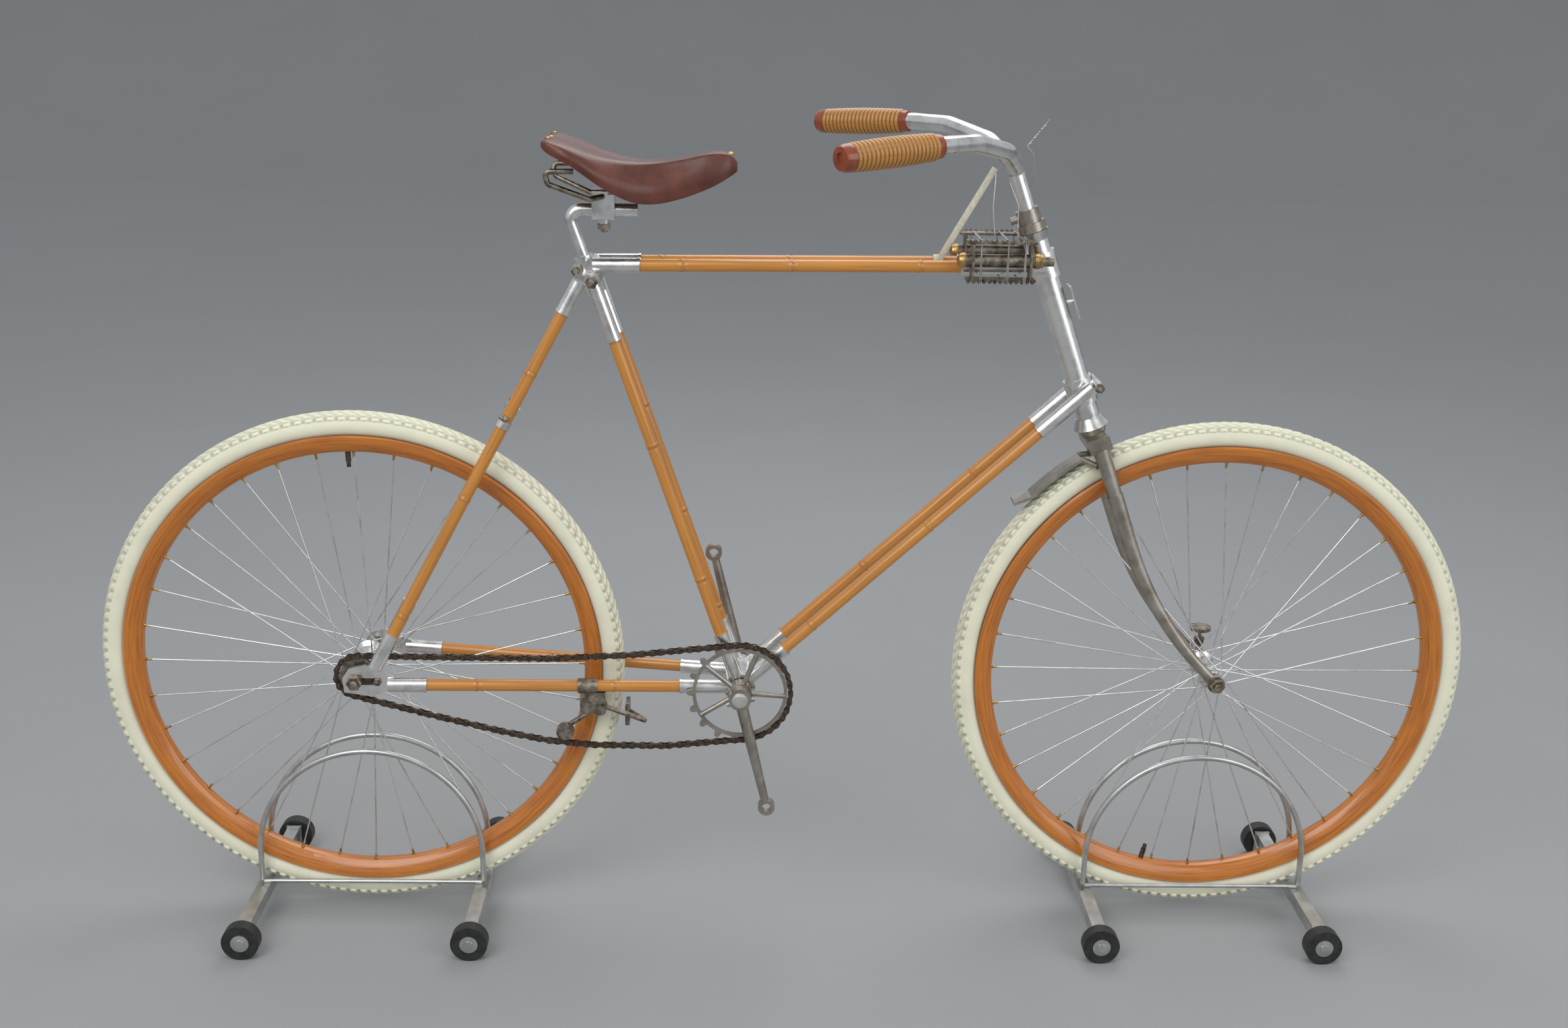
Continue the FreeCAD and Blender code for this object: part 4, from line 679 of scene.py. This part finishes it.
class BICYCLE_OT_fastenings(Piece):
    """Nuts, bolts and roller caps"""
    bl_idname = "bicycle.fastenings"
    bl_label = "Nuts and bolts"

    def make(self, sizes, tones):
        held = Form()
        for side in (-1, 1):
            out = (0, side, 0)
            low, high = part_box("seat_bolts")
            held.nut(Vector(((low.x + high.x) / 2, high.y * side, (low.z + high.z) / 2)), out, 0.0085, 0.007)
            held.nut(from_rear(298, side * 14, 914), out, 0.0065, 0.006)
            held.nut(from_rear(979, side * 32, 774), out, 0.0065, 0.006)
            held.nut(Vector((REAR_AXLE.x, side * 76 * MM, REAR_AXLE.z)), out, 0.0105, 0.009)
            held.nut(from_rear(30, side * 72, 368), out, 0.0055, 0.005)
            held.nut(from_rear(207, side * 48, 727), (-0.8, side * 0.6, 0.3), 0.0045, 0.009)
        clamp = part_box("saddle_clamp")
        held.nut(Vector(((clamp[0].x + clamp[1].x) / 2, 0, clamp[0].z + 0.004)), (0, 0, -1), 0.0092, 0.008)
        held.build("frame_nuts", "dark_steel", "frame", "dark_steel")

        turned = Form()
        for side in (-1, 1):
            turned.nut(Vector((FRONT_AXLE.x, side * 60 * MM, FRONT_AXLE.z)), (0, side, 0), 0.0105, 0.009)
            turned.lathe(Vector((FRONT_AXLE.x, side * 55.3 * MM, FRONT_AXLE.z)), (0, side, 0),
                         [(0, 0.0118), (0.0014, 0.0118)], 24)
        turned.build("front_axle_nuts", "dark_steel", "steering", "dark_steel")

        crank = Form()
        for side in (-1, 1):
            crank.lathe(Vector((BRACKET.x, side * 78 * MM, BRACKET.z)), (0, side, 0),
                        [(-0.001, 0.0105), (0.0015, 0.0105), (0.0025, 0.0075), (0.004, 0.0070)], 28)
        crank.build("crank_axle_caps", "nickel", "crank", "nickel")

        for name in NODES:
            if not name.endswith("_rollers"):
                continue
            caps = Form()
            low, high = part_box(name)
            for side in (-1, 1):
                face = Vector(((low.x + high.x) / 2, high.y * side, (low.z + high.z) / 2))
                caps.lathe(face, (0, side, 0), [(-0.001, 0.0125), (0.0012, 0.0122), (0.0018, 0.0060),
                                                (0.0030, 0.0058), (0.0031, 0.0045)], 30)
            body = NODES[name]["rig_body"]
            caps.build(name + "_caps", "stand_steel", body, "stand_steel")


class BICYCLE_OT_pedal_details(Piece):
    """Teeth and collars of the tied pedals, with the wires and strap that hold them"""
    bl_idname = "bicycle.pedal_details"
    bl_label = "Pedals, wires and strap"

    def make(self, sizes, tones):
        low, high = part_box("tied_pedals")
        inner = 28 * MM
        teeth, collars, wires = Form(), Form(), Form()
        for side in (-1, 1):
            near, far = sorted((side * inner, side * high.y))
            middle_y = (near + far) / 2
            for z, up in ((high.z, 1), (low.z, -1)):
                for index in range(13):
                    x = low.x + 0.006 + index * 0.0068
                    teeth.lathe(Vector((x, far if side > 0 else near, z)), (0, 0, up),
                                [(-0.003, 0.0030), (0.0005, 0.0026), (0.0026, 0.0007)], 4)
            height = 940 * MM
            collars.lathe(Vector((high.x - 0.024, middle_y, height)), (1, 0, 0),
                          [(0, 0.0098), (0.006, 0.0098), (0.007, 0.0086), (0.010, 0.0086)], 24)
            collars.lathe(Vector((low.x + 0.001, middle_y, height)), (-1, 0, 0),
                          [(-0.001, 0.0100), (0.003, 0.0098), (0.007, 0.0080), (0.009, 0.0040)], 24)
        teeth.build("pedal_teeth", "dark_steel", "frame", "dark_steel")
        collars.build("pedal_collars", "brass", "frame", "nickel")
        reach = high.y + 0.002
        for x in (812, 846, 868):
            for lean in (-1.2, 1.2):
                loop = [from_rear(x + lean, 0, 967), from_rear(x, reach / MM, 966),
                        from_rear(x - lean, reach / MM, 912),
                        from_rear(x, 0, 911), from_rear(x + lean, -reach / MM, 912),
                        from_rear(x, -reach / MM, 966), from_rear(x + lean, 0, 967)]
                wires.sweep(loop, [sizes.wire_radius] * len(loop), 6)
        hangers = (((833, -14, 966), (829, -12, 1004), (832, -4, 1046)),
                   ((861, -22, 966), (860, -20, 1008), (848, -15, 1036)),
                   ((833, 14, 966), (828, 10, 1006), (831, 3, 1046)),
                   ((862, 23, 966), (874, 23, 1006), (884, 11, 1045), (880, 6, 1070), (870, 1, 1080)))
        for run in hangers:
            wires.sweep([from_rear(*place) for place in run], [sizes.wire_radius] * len(run), 6)
        for phase in (0.0, math.pi):
            twist = []
            for share in np.linspace(0, 1, 40):
                turn = phase + share * 9 * math.pi
                twist.append(from_rear(870 + 26 * share, math.cos(turn),
                                       1080 + 33 * share + math.sin(turn)))
            wires.sweep(twist, [sizes.wire_radius * 0.8] * len(twist), 6)
        wires.build("tie_wires", "stand_steel", "frame", "nickel")
        strap = Form()
        band = [from_rear(764, 18 + 9 * math.cos(turn), 929 + 9 * math.sin(turn))
                for turn in np.linspace(0, 2 * math.pi, 21)]
        strap.sweep(band, [0.0055] * len(band), 12, flat=0.14, hint=(1, 0, 0))
        rise = [from_rear(765, 8, 931), from_rear(772, 4, 946), from_rear(803, 2, 1002),
                from_rear(831, 0, 1052)]
        strap.sweep(rise, [0.0042] * len(rise), 12, flat=0.18, hint=(0.87, 0, -0.48))
        strap.build("cotton_strap", "webbing", "frame", "nickel")


LAMPS = (
    # name, place, point it faces, power in watts, width
    ("key", (-1.6, -2.6, 3.0), (0, 0, 0.5), 62, 2.4),
    ("fill", (2.6, -2.4, 1.9), (0, 0, 0.5), 34, 2.4),
    ("rim", (0.4, 1.4, 3.0), (0, 0, 0.4), 30, 2.0),
)
CAMERA_PLACE = (-0.0775, -2.2173, 1.2753)
CAMERA_PITCH, CAMERA_YAW, CAMERA_ROLL = 0.30049, -0.030029, 0.020571
CAMERA_LENS = 39.57
CAMERA_SENSOR = 36.0


class BICYCLE_OT_stage(Piece):
    """Floor, far backdrop, lights and camera"""
    bl_idname = "bicycle.stage"
    bl_label = "Stage"

    def make(self, sizes, tones):
        scene = bpy.context.scene
        floor_finish = finish("studio floor", (tones.floor, tuple(v * 0.96 for v in tones.floor)), grain=1.5,
                              rough=(0.75, 0.9), bump=0.02)
        mesh = bpy.data.meshes.new("studio_floor")
        reach, wall_y, bend = 40.0, 9.0, 4.0
        profile = [(-reach, 0.0)]
        profile += [(wall_y + bend * math.sin(turn), bend - bend * math.cos(turn))
                    for turn in np.linspace(0.0, math.radians(70), 12)]
        points = [(x, y, z) for y, z in profile for x in (-reach, reach)]
        faces = [(2 * i, 2 * i + 1, 2 * i + 3, 2 * i + 2) for i in range(len(profile) - 1)]
        mesh.from_pydata(points, [], faces)
        mesh.polygons.foreach_set("use_smooth", [True] * len(faces))
        mesh.materials.append(floor_finish)
        floor = bpy.data.objects.new("studio_floor", mesh)
        scene.collection.objects.link(floor)
        for name, place, aim, power, width in LAMPS:
            data = bpy.data.lights.new(name, "AREA")
            data.energy = power
            data.size = width
            lamp = bpy.data.objects.new(name, data)
            lamp.location = place
            lamp.rotation_euler = (Vector(aim) - Vector(place)).to_track_quat("-Z", "Y").to_euler()
            scene.collection.objects.link(lamp)
        world = bpy.data.worlds.new("studio")
        world.use_nodes = True
        world.node_tree.nodes["Background"].inputs["Color"].default_value = (0.80, 0.83, 0.88, 1)
        world.node_tree.nodes["Background"].inputs["Strength"].default_value = 0.65
        scene.world = world
        scene.view_settings.view_transform = "Standard"

        pitch, yaw, roll = CAMERA_PITCH, CAMERA_YAW, CAMERA_ROLL
        right = Vector((1, 0, 0))
        up = Vector((0, math.sin(pitch), math.cos(pitch)))
        ahead = Vector((0, math.cos(pitch), -math.sin(pitch)))
        turn = Matrix.Rotation(yaw, 3, "Z")
        right, up, ahead = turn @ right, turn @ up, turn @ ahead
        right, up = (right * math.cos(roll) + up * math.sin(roll),
                     up * math.cos(roll) - right * math.sin(roll))
        data = bpy.data.cameras.new("camera")
        data.sensor_width = CAMERA_SENSOR
        data.lens = CAMERA_LENS
        camera = bpy.data.objects.new("camera", data)
        axes = Matrix((right, up, -ahead)).transposed().to_4x4()
        camera.matrix_world = Matrix.Translation(CAMERA_PLACE) @ axes
        scene.collection.objects.link(camera)
        scene.camera = camera


STEPS = (BICYCLE_OT_metalwork, BICYCLE_OT_bamboo, BICYCLE_OT_tyres, BICYCLE_OT_nipples, BICYCLE_OT_chain,
         BICYCLE_OT_saddle, BICYCLE_OT_grips, BICYCLE_OT_fastenings, BICYCLE_OT_pedal_details,
         BICYCLE_OT_stage)


class BICYCLE_PT_panel(bpy.types.Panel):
    """Lists the pieces in the sidebar"""
    bl_label = "Bicycle"
    bl_idname = "BICYCLE_PT_panel"
    bl_space_type = "VIEW_3D"
    bl_region_type = "UI"
    bl_category = "Bicycle"

    def draw(self, context):
        """Show the sizes, the colours and one button for each piece."""
        for group in (context.scene.bicycle_sizes, context.scene.bicycle_colours):
            for key in group.__annotations__:
                self.layout.prop(group, key)
        for step in STEPS:
            self.layout.operator(step.bl_idname)


CLASSES = (BicycleSizes, BicycleColours, *STEPS, BICYCLE_PT_panel)


def register():
    """Register the classes and hang the sizes and colours on the scene."""
    for item in CLASSES:
        bpy.utils.register_class(item)
    bpy.types.Scene.bicycle_sizes = bpy.props.PointerProperty(type=BicycleSizes)
    bpy.types.Scene.bicycle_colours = bpy.props.PointerProperty(type=BicycleColours)


def unregister():
    """Undo register."""
    del bpy.types.Scene.bicycle_colours
    del bpy.types.Scene.bicycle_sizes
    for item in reversed(CLASSES):
        bpy.utils.unregister_class(item)


def main():
    """Build every piece."""
    register()
    for step in STEPS:
        group, name = step.bl_idname.split(".")
        getattr(getattr(bpy.ops, group), name)()


if __name__ == "__main__":
    main()
